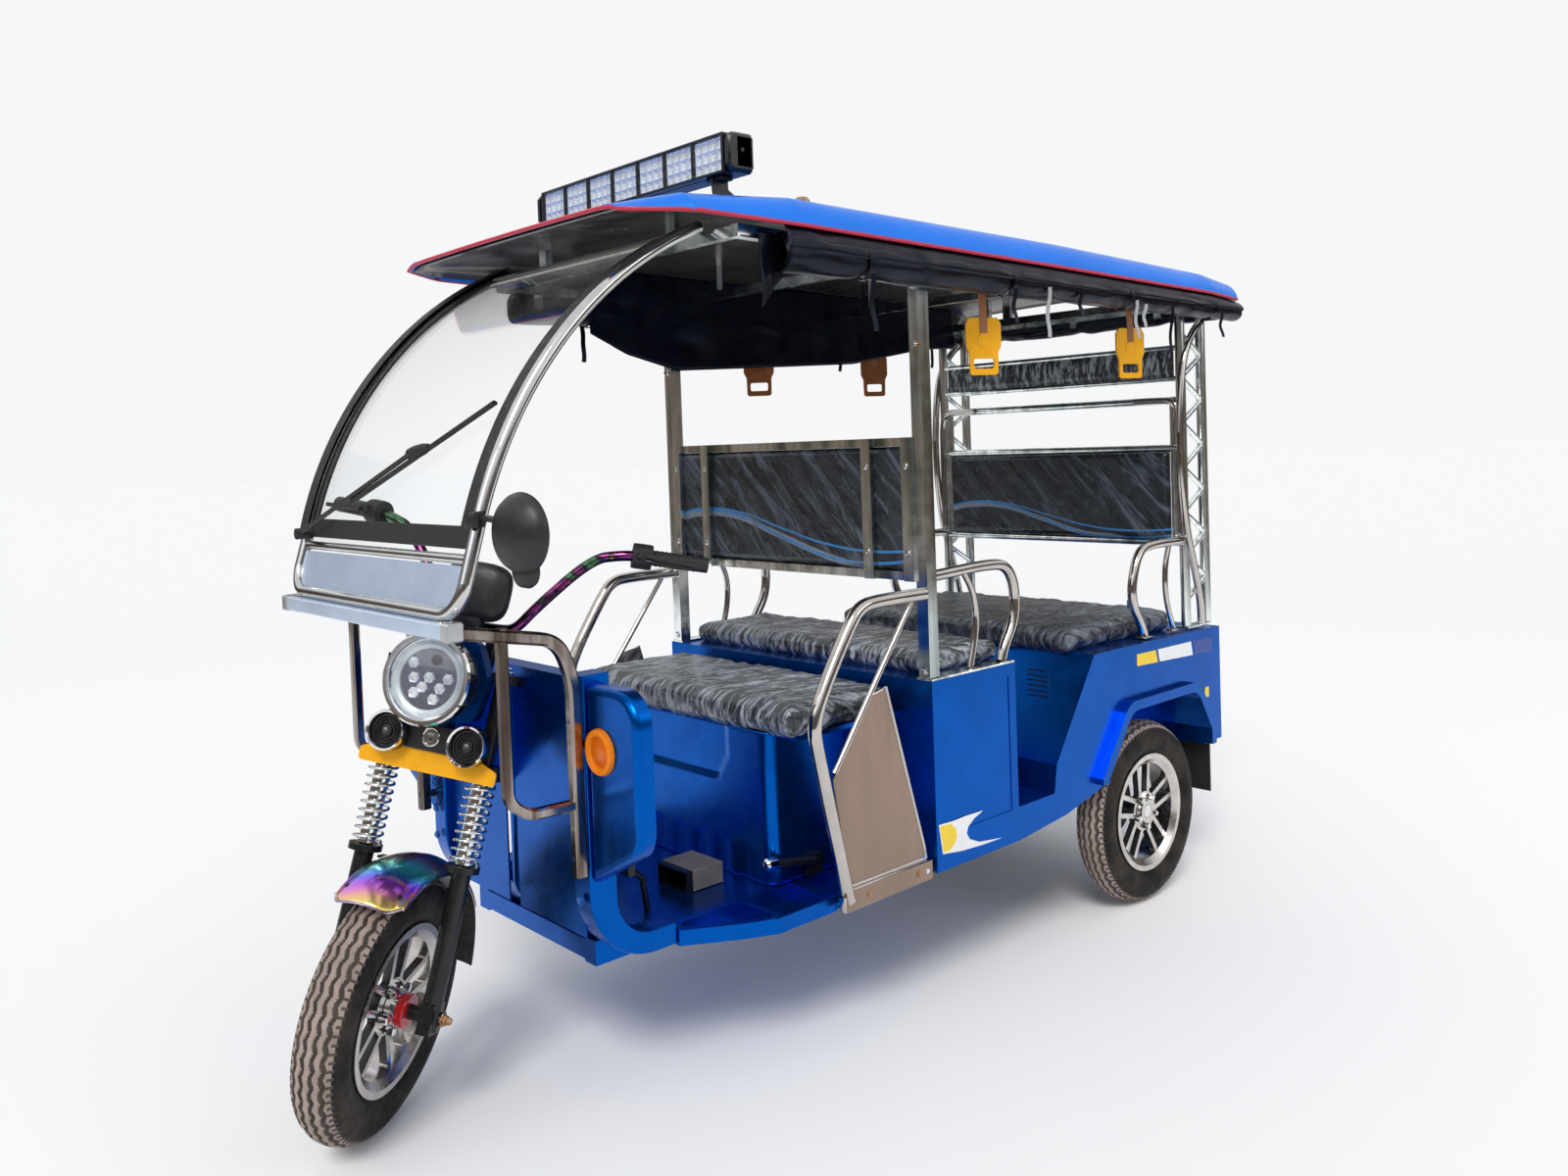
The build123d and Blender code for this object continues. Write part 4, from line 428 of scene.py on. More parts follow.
# Painted reflections: light and dark streaks in the colours of the front guard, the canopy posts and the handlebar
looks["guard_bronze"] = reflection_streaked("guard_bronze", [
    (0.3, (0.03, 0.022, 0.02)), (0.45, (0.13, 0.095, 0.08)), (0.55, (0.4, 0.35, 0.32)),
    (0.7, (0.08, 0.06, 0.05)),
], 0.16, (1, 1, 0.12), 14)
looks["post_steel"] = reflection_streaked("post_steel", [
    (0.3, (0.22, 0.26, 0.25)), (0.44, (0.62, 0.68, 0.67)), (0.56, (0.95, 1.0, 1.0)),
    (0.7, (0.42, 0.47, 0.46)),
], 0.14, (1, 1, 0.06), 16)
# The handlebar's tints, laid out as painted reflection streaks between near-black
looks["tinted_bar"] = reflection_streaked("tinted_bar", [
    (0.25, (0.02, 0.02, 0.02)), (0.38, (0.10, 0.22, 0.12)), (0.46, (0.02, 0.02, 0.025)),
    (0.55, (0.30, 0.06, 0.22)), (0.63, (0.03, 0.02, 0.03)), (0.7, (0.45, 0.32, 0.08)),
    (0.78, (0.03, 0.025, 0.02)),
], 0.12, (0.4, 1, 1), 16)
# Each curtain's second colour is its painted sheen
looks["curtain"] = sheen_painted_oilcloth("curtain", (0.002, 0.0022, 0.005), (0.016, 0.018, 0.034))
looks["curtain_navy"] = sheen_painted_oilcloth("curtain_navy", (0.001, 0.002, 0.007), (0.004, 0.009, 0.026))
looks["clear"] = clear_look("clear", (0.97, 0.98, 0.99), 0.04)
looks["glass"] = clear_look("glass", (0.995, 1.0, 1.0), 0.006)

# Looks of the CAD nodes: by the record's slots, with a few of their own
X, Y, Z = Vector((1, 0, 0)), Vector((0, 1, 0)), Vector((0, 0, 1))
FRONT_HUB = on_fork(0, -30, 0)
HUB_X, HUB_Z = 431, 248
REAR_HUBS = {"left": at(HUB_X, 0, HUB_Z), "right": at(-HUB_X, 0, HUB_Z)}
slot_of = {s["node"]: s["material_slot"] for s in frame["record"]["subparts"]}
for name, obj in nodes.items():
    obj.data.materials.clear()
    obj.data.materials.append(looks[slot_of[name]])
OWN_LOOKS = {"roof_shell": "roof_vinyl", "front_guard": "guard_bronze", "canopy_frame": "post_steel"}
for name, look_name in OWN_LOOKS.items():
    nodes[name].data.materials[0] = looks[look_name]
for name, hub_place, axle in (("front_rim", FRONT_HUB, fork_x), ("rear_left_rim", REAR_HUBS["left"], X),
                              ("rear_right_rim", REAR_HUBS["right"], X)):
    nodes[name].data.materials[0] = alloy_look(f"alloy_{name}", nodes[name], hub_place, axle)

# Mesh tools
BODY_AXES = (X, Y, Z)
FORK_AXES = (fork_x, fork_y, fork_up)


class Shape:
    def __init__(self):
        self.points, self.faces, self.slots = [], [], []

    def add(self, points, faces, slot=0):
        base = len(self.points)
        self.points.extend(Vector(p) for p in points)
        self.faces.extend([base + i for i in face] for face in faces)
        self.slots.extend([slot] * len(faces))


def piece(name, shape, body, materials, angle=35, stands_for=()):
    mesh = bpy.data.meshes.new(name)
    mesh.from_pydata([tuple(p) for p in shape.points], [], shape.faces)
    for material in materials:
        mesh.materials.append(looks[material] if isinstance(material, str) else material)
    mesh.polygons.foreach_set("material_index", shape.slots)
    work = bmesh.new()
    work.from_mesh(mesh)
    bmesh.ops.recalc_face_normals(work, faces=work.faces)
    work.to_mesh(mesh)
    work.free()
    mesh.shade_smooth()
    mesh.set_sharp_from_angle(angle=math.radians(angle))
    obj = bpy.data.objects.new(name, mesh)
    scene.collection.objects.link(obj)
    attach(obj, body)
    if stands_for:
        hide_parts(*stands_for)
    return obj


def circle(radius, sides=12):
    return [(radius * math.cos(math.tau * i / sides), radius * math.sin(math.tau * i / sides))
            for i in range(sides)]


def rect(width, height, cut=0.0):
    w, h = width / 2, height / 2
    if not cut:
        return [(-w, -h), (w, -h), (w, h), (-w, h)]
    return [(-w + cut, -h), (w - cut, -h), (w, -h + cut), (w, h - cut), (w - cut, h), (-w + cut, h),
            (-w, h - cut), (-w, -h + cut)]


def sweep(shape, path, section, slot=0, normal=None, closed=False):
    """Carries a section of (across, up) millimetres along a path of points in the row's frame."""
    path = [Vector(p) for p in path]
    count = len(path)
    current = None
    rings = []
    for i, p in enumerate(path):
        if closed:
            ahead = path[(i + 1) % count] - path[i - 1]
        else:
            ahead = path[min(i + 1, count - 1)] - path[max(i - 1, 0)]
        ahead.normalize()
        if normal is not None:
            current = Vector(normal[i] if isinstance(normal, list) else normal)
        elif current is None:
            current = ahead.orthogonal()
        current = (current - ahead * current.dot(ahead)).normalized()
        across = ahead.cross(current)
        local = section[i] if isinstance(section[0], list) else section
        rings.append([p + (across * a + current * b) / 1000 for a, b in local])
    size = len(rings[0])
    faces = []
    for i in range(count if closed else count - 1):
        j = (i + 1) % count
        faces += [[i * size + k, i * size + (k + 1) % size, j * size + (k + 1) % size, j * size + k]
                  for k in range(size)]
    if not closed:
        faces += [list(range(size))[::-1], [(count - 1) * size + k for k in range(size)]]
    shape.add([p for ring in rings for p in ring], faces, slot)


def lathe(shape, origin, axis, profile, sides=32, slot=0, start=None):
    """Turns a profile of (radius, height) millimetres round an axis; a radius of nought closes it."""
    axis = Vector(axis).normalized()
    first = (Vector(start) if start else axis.orthogonal()).normalized()
    second = axis.cross(first)
    points, rings = [], []
    for radius, height in profile:
        centre = origin + axis * (height / 1000)
        if radius < 1e-6:
            rings.append([len(points)] * sides)
            points.append(centre)
            continue
        rings.append(list(range(len(points), len(points) + sides)))
        points += [centre + (first * math.cos(math.tau * k / sides) + second * math.sin(math.tau * k / sides))
                   * (radius / 1000) for k in range(sides)]
    faces = []
    for low, high in zip(rings, rings[1:]):
        for k in range(sides):
            face = [low[k], low[(k + 1) % sides], high[(k + 1) % sides], high[k]]
            face = [v for i, v in enumerate(face) if v not in face[:i]]
            if len(face) > 2:
                faces.append(face)
    shape.add(points, faces, slot)


def block(shape, centre, size, chamfer=1.0, axes=BODY_AXES, slot=0):
    half, cut = [s / 2000 for s in size], chamfer / 1000
    index, points, faces = {}, [], []
    corners = [(a, b, c) for a in (-1, 1) for b in (-1, 1) for c in (-1, 1)]
    for s in corners:
        for k in range(3):
            index[s, k] = len(points)
            steps = (axes[a] * (s[a] * (half[a] - (0 if a == k else cut))) for a in range(3))
            points.append(centre + sum(steps, Vector()))

    def corner(k, sign, others):
        s = list(others)
        s.insert(k, sign)
        return tuple(s)

    for k in range(3):
        for sign in (-1, 1):
            faces.append([index[corner(k, sign, o), k] for o in ((-1, -1), (1, -1), (1, 1), (-1, 1))])
        for o in ((-1, -1), (1, -1), (1, 1), (-1, 1)):
            low, high = corner(k, -1, o), corner(k, 1, o)
            others = [a for a in range(3) if a != k]
            faces.append([index[low, others[0]], index[high, others[0]], index[high, others[1]],
                          index[low, others[1]]])
    faces += [[index[s, 0], index[s, 1], index[s, 2]] for s in corners]
    shape.add(points, faces, slot)


def slab(shape, outline, place, low, high, chamfer=0.8, slot=0):
    """An extruded outline; place(u, v, h) puts its millimetres in the row's frame."""
    count = len(outline)
    area = sum(outline[i][0] * outline[(i + 1) % count][1] - outline[(i + 1) % count][0] * outline[i][1]
               for i in range(count))
    turn = 1 if area > 0 else -1
    inner = []
    for i in range(count):
        before, here, after = (Vector(outline[j % count]) for j in (i - 1, i, i + 1))
        a, b = (here - before).normalized(), (after - here).normalized()
        out = Vector((a.y + b.y, -a.x - b.x)) * turn
        out.normalize()
        scale = max(out.dot(Vector((a.y, -a.x)) * turn), 0.4)
        inner.append(here - out * (chamfer / scale))
    rings = ((outline, low), (outline, high - chamfer), (inner, high))
    points = [place(*p, height) for ring, height in rings for p in ring]
    faces = [[r + k, r + (k + 1) % count, r + count + (k + 1) % count, r + count + k]
             for r in (0, count) for k in range(count)]
    faces += [list(range(count))[::-1], [2 * count + k for k in range(count)]]
    shape.add(points, faces, slot)


def grid(shape, rows, slot=0, closed=False):
    count, size = len(rows), len(rows[0])
    faces = [[i * size + k, i * size + k + 1, (i + 1) * size + k + 1, (i + 1) * size + k]
             for i in range(count - 1) for k in range(size - 1)]
    if closed:
        faces += [[i * size + size - 1, i * size, (i + 1) * size, (i + 1) * size + size - 1]
                  for i in range(count - 1)]
    shape.add([p for row in rows for p in row], faces, slot)


def bolt(shape, place, axis, radius=6.0, height=4.0, slot=0, washer=True):
    profile = [(0, -0.4)]
    if washer:
        profile += [(radius * 1.55, -0.4), (radius * 1.55, 0.8), (radius * 1.06, 1.1)]
    profile += [(radius, 0.6), (radius, height * 0.7), (radius * 0.75, height), (0, height)]
    lathe(shape, place, axis, profile, 12, slot)


def rounded(points, radius, steps=5):
    """A polyline with its inner corners rounded."""
    points = [Vector(p) for p in points]
    out = [points[0]]
    for before, here, after in zip(points, points[1:], points[2:]):
        reach = min(radius / 1000, (here - before).length * 0.45, (after - here).length * 0.45)
        a, b = here + (before - here).normalized() * reach, here + (after - here).normalized() * reach
        out += [a.lerp(here, t).lerp(here.lerp(b, t), t) for t in (i / steps for i in range(steps + 1))]
    return out + [points[-1]]


def smooth(points, turns=3):
    """Round a polyline by cutting its corners again and again."""
    points = [Vector(p) for p in points]
    for turn in range(turns):
        cut = [points[0]]
        for a, b in zip(points, points[1:]):
            cut += [a.lerp(b, 0.25), a.lerp(b, 0.75)]
        points = cut + [points[-1]]
    return points


def beside(x, pairs):
    """Points in the side plane at x, from pairs of (y, z) millimetres."""
    return [at(x, y, z) for y, z in pairs]


def thicken(obj, thickness, offset=-1):
    skin = obj.modifiers.new("thickness", "SOLIDIFY")
    skin.thickness = thickness
    skin.offset = offset


CLOTH = 0.0012


def hung_cloth(name, rows, look_name):
    """A sheet of cloth that hangs free, from rows of points."""
    shape = Shape()
    grid(shape, rows)
    obj = piece(name, shape, "body", [look_name], 60)
    thicken(obj, CLOTH)


def creases(p, scale, seed=0.0):
    """Sharp folds, from 0 on the flat to 1 on a ridge."""
    q = Vector(p) * scale + Vector((seed, seed * 1.7, -seed))
    bent = q + mathnoise.noise_vector(q * 0.6) * 0.7
    return max(0.0, 1 - 2.6 * abs(mathnoise.noise(bent)))


# Cushions: a chamfered block made into fine cloth, blown up a little and then creased
VOXEL, MOST_PUFF, CREASE = 0.0065, 0.007, 0.0042
PUFF_FRAMES = 12


def cushion(name, half, y0, y1, z0, z1, look_name):
    shape = Shape()
    inset = 3
    size = (2 * half - 2 * inset, y1 - y0 - 2 * inset, z1 - z0 - inset)
    block(shape, at(0, (y0 + y1) / 2, (z0 + z1) / 2), size, 9)
    obj = piece(name, shape, "body", [look_name], 60, ["seat_cushions"])
    shrink = obj.modifiers.new("voxels", "REMESH")
    shrink.mode = "VOXEL"
    shrink.voxel_size = VOXEL
    depsgraph = bpy.context.evaluated_depsgraph_get()
    obj.data = bpy.data.meshes.new_from_object(obj.evaluated_get(depsgraph))
    obj.modifiers.clear()
    rest = np.zeros(len(obj.data.vertices) * 3)
    obj.data.vertices.foreach_get("co", rest)
    moved = rest.reshape(-1, 3).copy()
    cloth = obj.modifiers.new("cloth", "CLOTH")
    cloth.settings.use_pressure = True
    cloth.settings.uniform_pressure_force = 4
    cloth.settings.effector_weights.gravity = 0
    for frame_number in range(1, PUFF_FRAMES + 1):
        scene.frame_set(frame_number)
    puffed = obj.evaluated_get(bpy.context.evaluated_depsgraph_get()).data
    flat = np.zeros(len(puffed.vertices) * 3)
    puffed.vertices.foreach_get("co", flat)
    moved = flat.reshape(-1, 3)
    obj.modifiers.clear()
    scene.frame_set(1)
    rest = rest.reshape(-1, 3)
    step = moved - rest
    length = np.linalg.norm(step, axis=1, keepdims=True)
    step *= np.minimum(1, MOST_PUFF / np.maximum(length, 1e-9))
    moved = rest + step
    low, high = np.array(at(-half, y0, z0)), np.array(at(half, y1, z1))
    middle, extent = (low + high) / 2, (high - low) / 2
    for i, p in enumerate(moved):
        fold = creases((p[0], p[1] * 0.7, p[2] * 0.6), 13, half)
        fold += 0.6 * creases(p, 34, 4.0)
        away = np.clip((p - middle) / extent, -1, 1) ** 5
        size = np.linalg.norm(away)
        moved[i] = p + (away / size if size > 1e-4 else 0) * CREASE * (fold - 0.25)
    obj.data.vertices.foreach_set("co", moved.ravel())
    smoother = obj.modifiers.new("subdivision", "SUBSURF")
    smoother.levels = smoother.render_levels = 1
    obj.data.shade_smooth()


cushion("driver_cushion", 390, -1258, -930, 672.3, 734, "film_vinyl")
cushion("bench_cushion", 432, -861, -592, 752.3, 798, "film_vinyl")
cushion("rear_cushion", 420, -290, 232, 722.3, 776, "rear_film")


PAD_STEP = 9


def pad(name, half, y0, y1, z0, z1, look_name):
    """A backrest pad: a tight case over a board, wrinkled all over and drawn in at its rim."""
    shape = Shape()
    across, tall = int(2 * half / PAD_STEP), int((z1 - z0) / PAD_STEP)
    rows = []
    for side, y in ((-1, y0), (1, y1)):
        face = []
        for j in range(tall + 1):
            row = []
            for i in range(across + 1):
                u, v = i / across, j / tall
                x, z = -half + 2 * half * u, z0 + (z1 - z0) * v
                rim = min(u * 2 * half, (1 - u) * 2 * half, v * (z1 - z0), (1 - v) * (z1 - z0))
                drawn = max(0.0, 1 - rim / 9) ** 2 * 9
                p = at(x, y, z)
                fold = creases((p.x, 0, p.z * 0.8), 9, half + z0 / 100)
                fold += 0.6 * creases((p.x * 1.4, 1, p.z), 24, 3)
                bulge = 1.8 * fold - 1.2 if rim > 1 else 0
                row.append(at(x, y + side * (bulge - drawn), z))
            face.append(row)
        rows.append(face)
    front, back = rows
    grid(shape, front)
    grid(shape, [row[::-1] for row in back])
    edges = [face[0][:] + [r[-1] for r in face[1:]] + face[-1][-2::-1] + [r[0] for r in face[-2:0:-1]]
             for face in (front, back)]
    grid(shape, edges, closed=True)
    obj = piece(name, shape, "body", [look_name], 50, ["backrest_pads"])
    weld = bmesh.new()
    weld.from_mesh(obj.data)
    bmesh.ops.remove_doubles(weld, verts=weld.verts, dist=0.00005)
    bmesh.ops.recalc_face_normals(weld, faces=weld.faces)
    weld.to_mesh(obj.data)
    weld.free()


pad("driver_backrest", 436, -893.5, -866, 995.3, 1281.7, "driver_pad")
pad("rear_backrest", 404, 249, 280, 981, 1235, "rear_pad")
pad("upper_backrest", 420, 267, 278, 1456, 1529, "film_vinyl")


# Rolled curtains. Each side roll runs level with the eaves and tapers to the rear
ROLL_X, ROLL_Y0, ROLL_LENGTH = 508, -1350, 1820


def along_roll(y, front, change):
    """A value that starts at front and changes evenly along the side roll."""
    return front + change * (y - ROLL_Y0) / ROLL_LENGTH


def roll_z(y):
    return along_roll(y, 1672, -30)


def rolled(name, start, end, radii, inner, sags, seed, flat_width):
    """A curtain rolled up under the brim: one sheet in a loose spiral, drawn in where its straps hold it."""
    shape = Shape()
    turns, stations, per_turn = 3.2, 180, 26
    along = (end - start).normalized()
    side = along.cross(Z).normalized()
    rows = []
    length = (end - start).length
    for i in range(stations + 1):
        t = i / stations
        centre = start.lerp(end, t)
        radius = radii[0] + (radii[1] - radii[0]) * t
        pinch = sum(math.exp(-((t * length * 1000 - s) / 26) ** 2) for s in sags)
        row = []
        for k in range(int(turns * per_turn) + 1):
            angle = math.tau * k / per_turn
            inward = 5.0 * k / per_turn
            q = Vector((math.cos(angle), math.sin(angle), 0))
            wave = creases((centre.x * 0.6 + q.x * 0.05, centre.y * 0.6 + q.x * 0.05, q.y * 0.07), 11, seed)
            fold = mathnoise.noise(Vector((t * length * 9, q.x * 1.2, q.y * 1.2 + seed)))
            r = radius * (1 + 0.06 * fold) + 2.6 * wave - 3.4 * pinch - inward
            drop = 0.10 * radius * (1 - min(pinch, 1)) * max(0.0, -q.y)
            a = max(-inner, min(inner, r * q.x))
            row.append(centre + side * (a / 1000) + Z * ((r * q.y - drop) / 1000))
        rows.append(row)
    grid(shape, rows)
    obj = piece(name, shape, "body", ["curtain"], 60, ["rolled_curtains"])
    thicken(obj, CLOTH, 0)


STRAPS = (-1120, -632, -128, 330)
ROLL_Y1 = ROLL_Y0 + ROLL_LENGTH
SIDES = ((1, "left"), (-1, "right"))
for sign, side in SIDES:
    ends = [at(sign * ROLL_X, y, roll_z(y)) for y in (ROLL_Y0, ROLL_Y1)]
    rolled(f"rolled_curtain_{side}", *ends, (38, 28), 33, [s - ROLL_Y0 for s in STRAPS], 2.0 + sign, 0.52)
ends = [at(x, 444, 1646) for x in (-465, 465)]
rolled("rolled_curtain_rear", *ends, (25, 25), 25, [150, 465, 780], 7.0, 0.37)

straps = Shape()
for sign in (1, -1):
    for y in STRAPS:
        z = roll_z(y)
        r = along_roll(y, 36.5, -10) + 1
        loop = []
        for k in range(24):
            c, s = math.cos(math.tau * k / 24), math.sin(math.tau * k / 24)
            sunk = 2.5 if s < 0 else 0
            loop.append(at(sign * ROLL_X + max(-34.0, min(34.0, r * c)), y, z + r * s - sunk))
        out = [(p - at(sign * ROLL_X, y, z)).normalized() for p in loop]
        sweep(straps, loop, rect(15, 1.4), 0, out, closed=True)
# Loose ends of the tapes: (sign, y, top z, bottom z, leaning forward at the end, finish)
HANGING = [(1, -1122, 1640, 1523, 3, 0), (1, -640, 1640, 1560, 0, 0), (1, -505, 1650, 1530, -6, 1),
           (1, -372, 1645, 1590, 4, 0), (1, -118, 1640, 1541, 6, 1), (1, -75, 1632, 1572, -5, 1),
           (1, 60, 1635, 1482, -14, 0), (1, 330, 1628, 1560, 5, 0), (-1, -1122, 1640, 1540, 2, 0),
           (-1, -632, 1640, 1530, 4, 0), (-1, -128, 1640, 1530, -3, 0), (-1, 330, 1628, 1550, 0, 0)]
for sign, y, top, bottom, lean, slot in HANGING:
    path = []
    for t in (k / 9 for k in range(10)):
        x = sign * (543.5 - 3 * (1 - math.cos(6 * t)))
        path.append(at(x, y + lean * t * t + 2 * math.sin(9 * t), top + (bottom - top) * t))
    sweep(straps, path, rect(14, 1.2), slot, X)
piece("curtain_straps", straps, "body", ["curtain", "strap_silver"], 40)

# Roof: (y, half width, edge z, crown z) at stations along it
ROOF = [(-1672, 430, 1738, 1752), (-1560, 512, 1735, 1778), (-1300, 530, 1728, 1802), (-400, 530, 1708, 1788),
        (300, 530, 1690, 1762), (470, 520, 1680, 1742)]


def roof_at(y):
    for a, b in zip(ROOF, ROOF[1:]):
        if y <= b[0]:
            t = (y - a[0]) / (b[0] - a[0])
            return [p + (q - p) * t for p, q in zip(a, b)]
    return ROOF[-1]


SHOULDER = 56


def roof_z(x, y):
    """Height of the roof's outer face: a crowned top between two steep shoulders."""
    half, edge, crown = roof_at(y)[1:]
    shoulder_x, shoulder_z = half - SHOULDER, edge + 0.8 * (crown - edge)
    if abs(x) <= shoulder_x:
        return shoulder_z + (crown - shoulder_z) * (1 - (x / shoulder_x) ** 2)
    t = (half - abs(x)) / SHOULDER
    return edge + (shoulder_z - edge) * math.sin(t * math.pi / 2) ** 0.85


piping = Shape()
brim = []
for sign in (1, -1):
    line = [at(sign * (roof_at(y)[1] - 0.5), y, roof_at(y)[2] - 4) for y in
            [-1669] + list(range(-1640, 460, 30)) + [467]]
    brim.append(line)
front = [at(x, -1671, roof_z(x, -1671) - 4) for x in range(-400, 401, 40)]
rear = [at(x, 469, roof_z(x, 469) - 4) for x in range(-480, 481, 40)]
ring = brim[0] + rear[::-1] + brim[1][::-1] + front
sweep(piping, ring, circle(4.2, 10), 0, Z, closed=True)
piece("roof_piping", piping, "body", ["crimson"], 60)

liner = Shape()
rows = []
for y in [-1655] + list(range(-1620, 440, 40)) + [455]:
    half = roof_at(y)[1] - 9
    row = []
    for i in range(49):
        u = -1 + i / 24
        sag = 1.2 * math.sin(y / 90) * math.cos(3 * u)
        row.append(at(u * half, y, roof_z(u * half, y) - 10 - sag))
    rows.append(row)
grid(liner, rows)
lining = piece("roof_liner", liner, "body", ["liner"], 60)
thicken(lining, 0.0015)


# Tyres, in millimetres
TYRE_R, RIM_R = 248.0, 160.0
TYRE_HALF, BEAD = 49.0, 38.0
GROOVES = (-27.0, -9.5, 9.5, 27.0)
TREAD_STEPS = 288


def arc(a, b, c, steps):
    """Points on the circle through three (x, r) points."""
    ax, ay, bx, by, cx, cy = *a, *b, *c
    d = 2 * (ax * (by - cy) + bx * (cy - ay) + cx * (ay - by))
    ux = ((ax**2 + ay**2) * (by - cy) + (bx**2 + by**2) * (cy - ay) + (cx**2 + cy**2) * (ay - by)) / d
    uy = ((ax**2 + ay**2) * (cx - bx) + (bx**2 + by**2) * (ax - cx) + (cx**2 + cy**2) * (bx - ax)) / d
    r = math.hypot(ax - ux, ay - uy)
    t0, t1 = math.atan2(ay - uy, ax - ux), math.atan2(cy - uy, cx - ux)
    if t1 - t0 > math.pi:
        t1 -= math.tau
    if t0 - t1 > math.pi:
        t1 += math.tau
    return [(ux + r * math.cos(t0 + (t1 - t0) * i / steps), uy + r * math.sin(t0 + (t1 - t0) * i / steps))
            for i in range(steps + 1)]


def tread_depth(x, r, tread, step):
    """How deep the surface is cut at (x, r), or how proud it stands where this is below nought."""
    if not tread:
        ringed = r > RIM_R + 10 and abs(r - (RIM_R + 24)) < 3 or abs(r - (RIM_R + 52)) < 3
        return -0.8 if ringed and abs(x) < TYRE_HALF - 0.5 else 0.0
    zigzag = 2.6 * (abs((step % 6) - 3) / 1.5 - 1)
    depth = max(5.0 * min(1.0, max(0.0, (3.2 - abs(x - g - zigzag)) / 1.2)) for g in GROOVES)
    return max(depth, 2.2) if abs(x) > 35 and step % 3 == 0 else depth


def tyre(name, centre, axle, body, stands_for):
    shape = Shape()
    axle = axle.normalized()
    first = (Z - axle * Z.dot(axle)).normalized()
    second = axle.cross(first)
    side = arc((BEAD, RIM_R + 4), (TYRE_HALF, RIM_R + 42), (TYRE_HALF - 9, TYRE_R - 16), 14)
    crown = arc((TYRE_HALF - 9, TYRE_R - 16), (0, TYRE_R), (-TYRE_HALF + 9, TYRE_R - 16), 44)
    profile = [(x, r, 0) for x, r in side[:-1]] + [(x, r, 1) for x, r in crown]
    profile += [(-x, r, 0) for x, r in side[-2::-1]]
    profile += [(-BEAD + 4, RIM_R - 3, 0), (BEAD - 4, RIM_R - 3, 0)]
    rows, cuts = [], []
    for s in range(TREAD_STEPS):
        angle = math.tau * s / TREAD_STEPS
        c, q = math.cos(angle), math.sin(angle)
        row, cut = [], []
        for x, r, tread in profile:
            depth = tread_depth(x, r, tread, s)
            row.append(centre + axle * (x / 1000) + (first * c + second * q) * ((r - depth) / 1000))
            cut.append(2 if tread and depth > 1.5 else 0 if tread else 1)
        rows.append(row)
        cuts.append(cut)
    count, size = len(rows), len(rows[0])
    faces = [[i * size + k, i * size + (k + 1) % size, ((i + 1) % count) * size + (k + 1) % size,
              ((i + 1) % count) * size + k] for i in range(count) for k in range(size)]
    shape.add([p for row in rows for p in row], faces)
    shape.slots = [max(cuts[i][k], cuts[i][(k + 1) % size]) for i in range(count) for k in range(size)]
    return piece(name, shape, body, ["tread", "tyre", "groove"], 38, [stands_for])


tyre("front_tread_tyre", FRONT_HUB, fork_x, "front_wheel", "front_tyre")
for side, hub_place in REAR_HUBS.items():
    tyre(f"rear_{side}_tread_tyre", hub_place, X, f"rear_{side}_wheel", f"rear_{side}_tyre")

# Light bar
bar = Shape()
BAR_Y, BAR_Z = -1320, 1897
outline = [(-372, -30), (-362, -41), (362, -41), (372, -30), (372, 30), (362, 41), (-362, 41), (-372, 30)]
slab(bar, outline, lambda u, v, h: at(u, BAR_Y + 32 - h, BAR_Z + v), 0, 46, 4)
for sign in (1, -1):
    slab(bar, [(-32, -38), (22, -38), (32, -26), (32, 26), (22, 38), (-32, 38)],
         lambda u, v, h: at(sign * (372 - 14 + h), BAR_Y - u, BAR_Z + v), 0, 14, 4)
for k in range(9):
    block(bar, at(0, BAR_Y + 30, BAR_Z - 34 + 8.5 * k), (700, 4, 4), 0.8)
for sign in (1, -1):
    foot = beside(sign * 300, ((BAR_Y, 1857), (BAR_Y, 1822), (BAR_Y + 26, 1806)))
    sweep(bar, rounded(foot, 12), rect(44, 4, 1), 0, X)
    block(bar, at(sign * 300, BAR_Y, 1852), (50, 34, 8), 2)
CELL, CELLS = 99.0, 7
for k in range(CELLS + 1):
    block(bar, at(-3.5 * CELL + CELL * k, BAR_Y - 23, BAR_Z), (7, 18, 78), 1.5)
for z in (-38, 38):
    block(bar, at(0, BAR_Y - 23, BAR_Z + z), (2 * 3.5 * CELL + 7, 18, 6), 1.5)
for sign in (1, -1):
    block(bar, at(sign * 365, BAR_Y + 8, BAR_Z), (13, 36, 74), 5)
    bolt(bar, at(sign * 371, BAR_Y + 4, BAR_Z + 4), X * sign, 4, 2)
piece("light_bar_housing", bar, "body", ["black_metal"], 30, ["light_bar"])
cells, lenses = Shape(), Shape()
AROUND = ((-1, -1), (0, -1), (1, -1), (1, 0), (1, 1), (0, 1), (-1, 1), (-1, 0))
for k in range(CELLS):
    x0 = -3 * CELL + CELL * k
    for i in range(4):
        for j in range(3):
            cx, cz = x0 + (i - 1.5) * 22.6, BAR_Z + (j - 1) * 23
            cup = []
            for t in (step / 5 for step in range(6)):
                w, d, h = 11.2 * (1 - 0.7 * t), 11.4 * (1 - 0.7 * t), 8 * (1 - (1 - t) ** 2)
                cup += [at(cx + w * a, BAR_Y - 24 + h, cz + d * b) for a, b in AROUND]
            size = len(AROUND)
            faces = [[r + q, r + (q + 1) % size, r + size + (q + 1) % size, r + size + q]
                     for r in range(0, 5 * size, size) for q in range(size)]
            cells.add(cup, faces + [[5 * size + q for q in range(size)]])
            lathe(cells, at(cx, BAR_Y - 17, cz), -Y, [(0, 0), (3.6, 0), (3.2, 2), (0, 3)], 8, 1)
    block(lenses, at(x0, BAR_Y - 28, BAR_Z), (CELL - 8, 2.5, 69), 0.6)
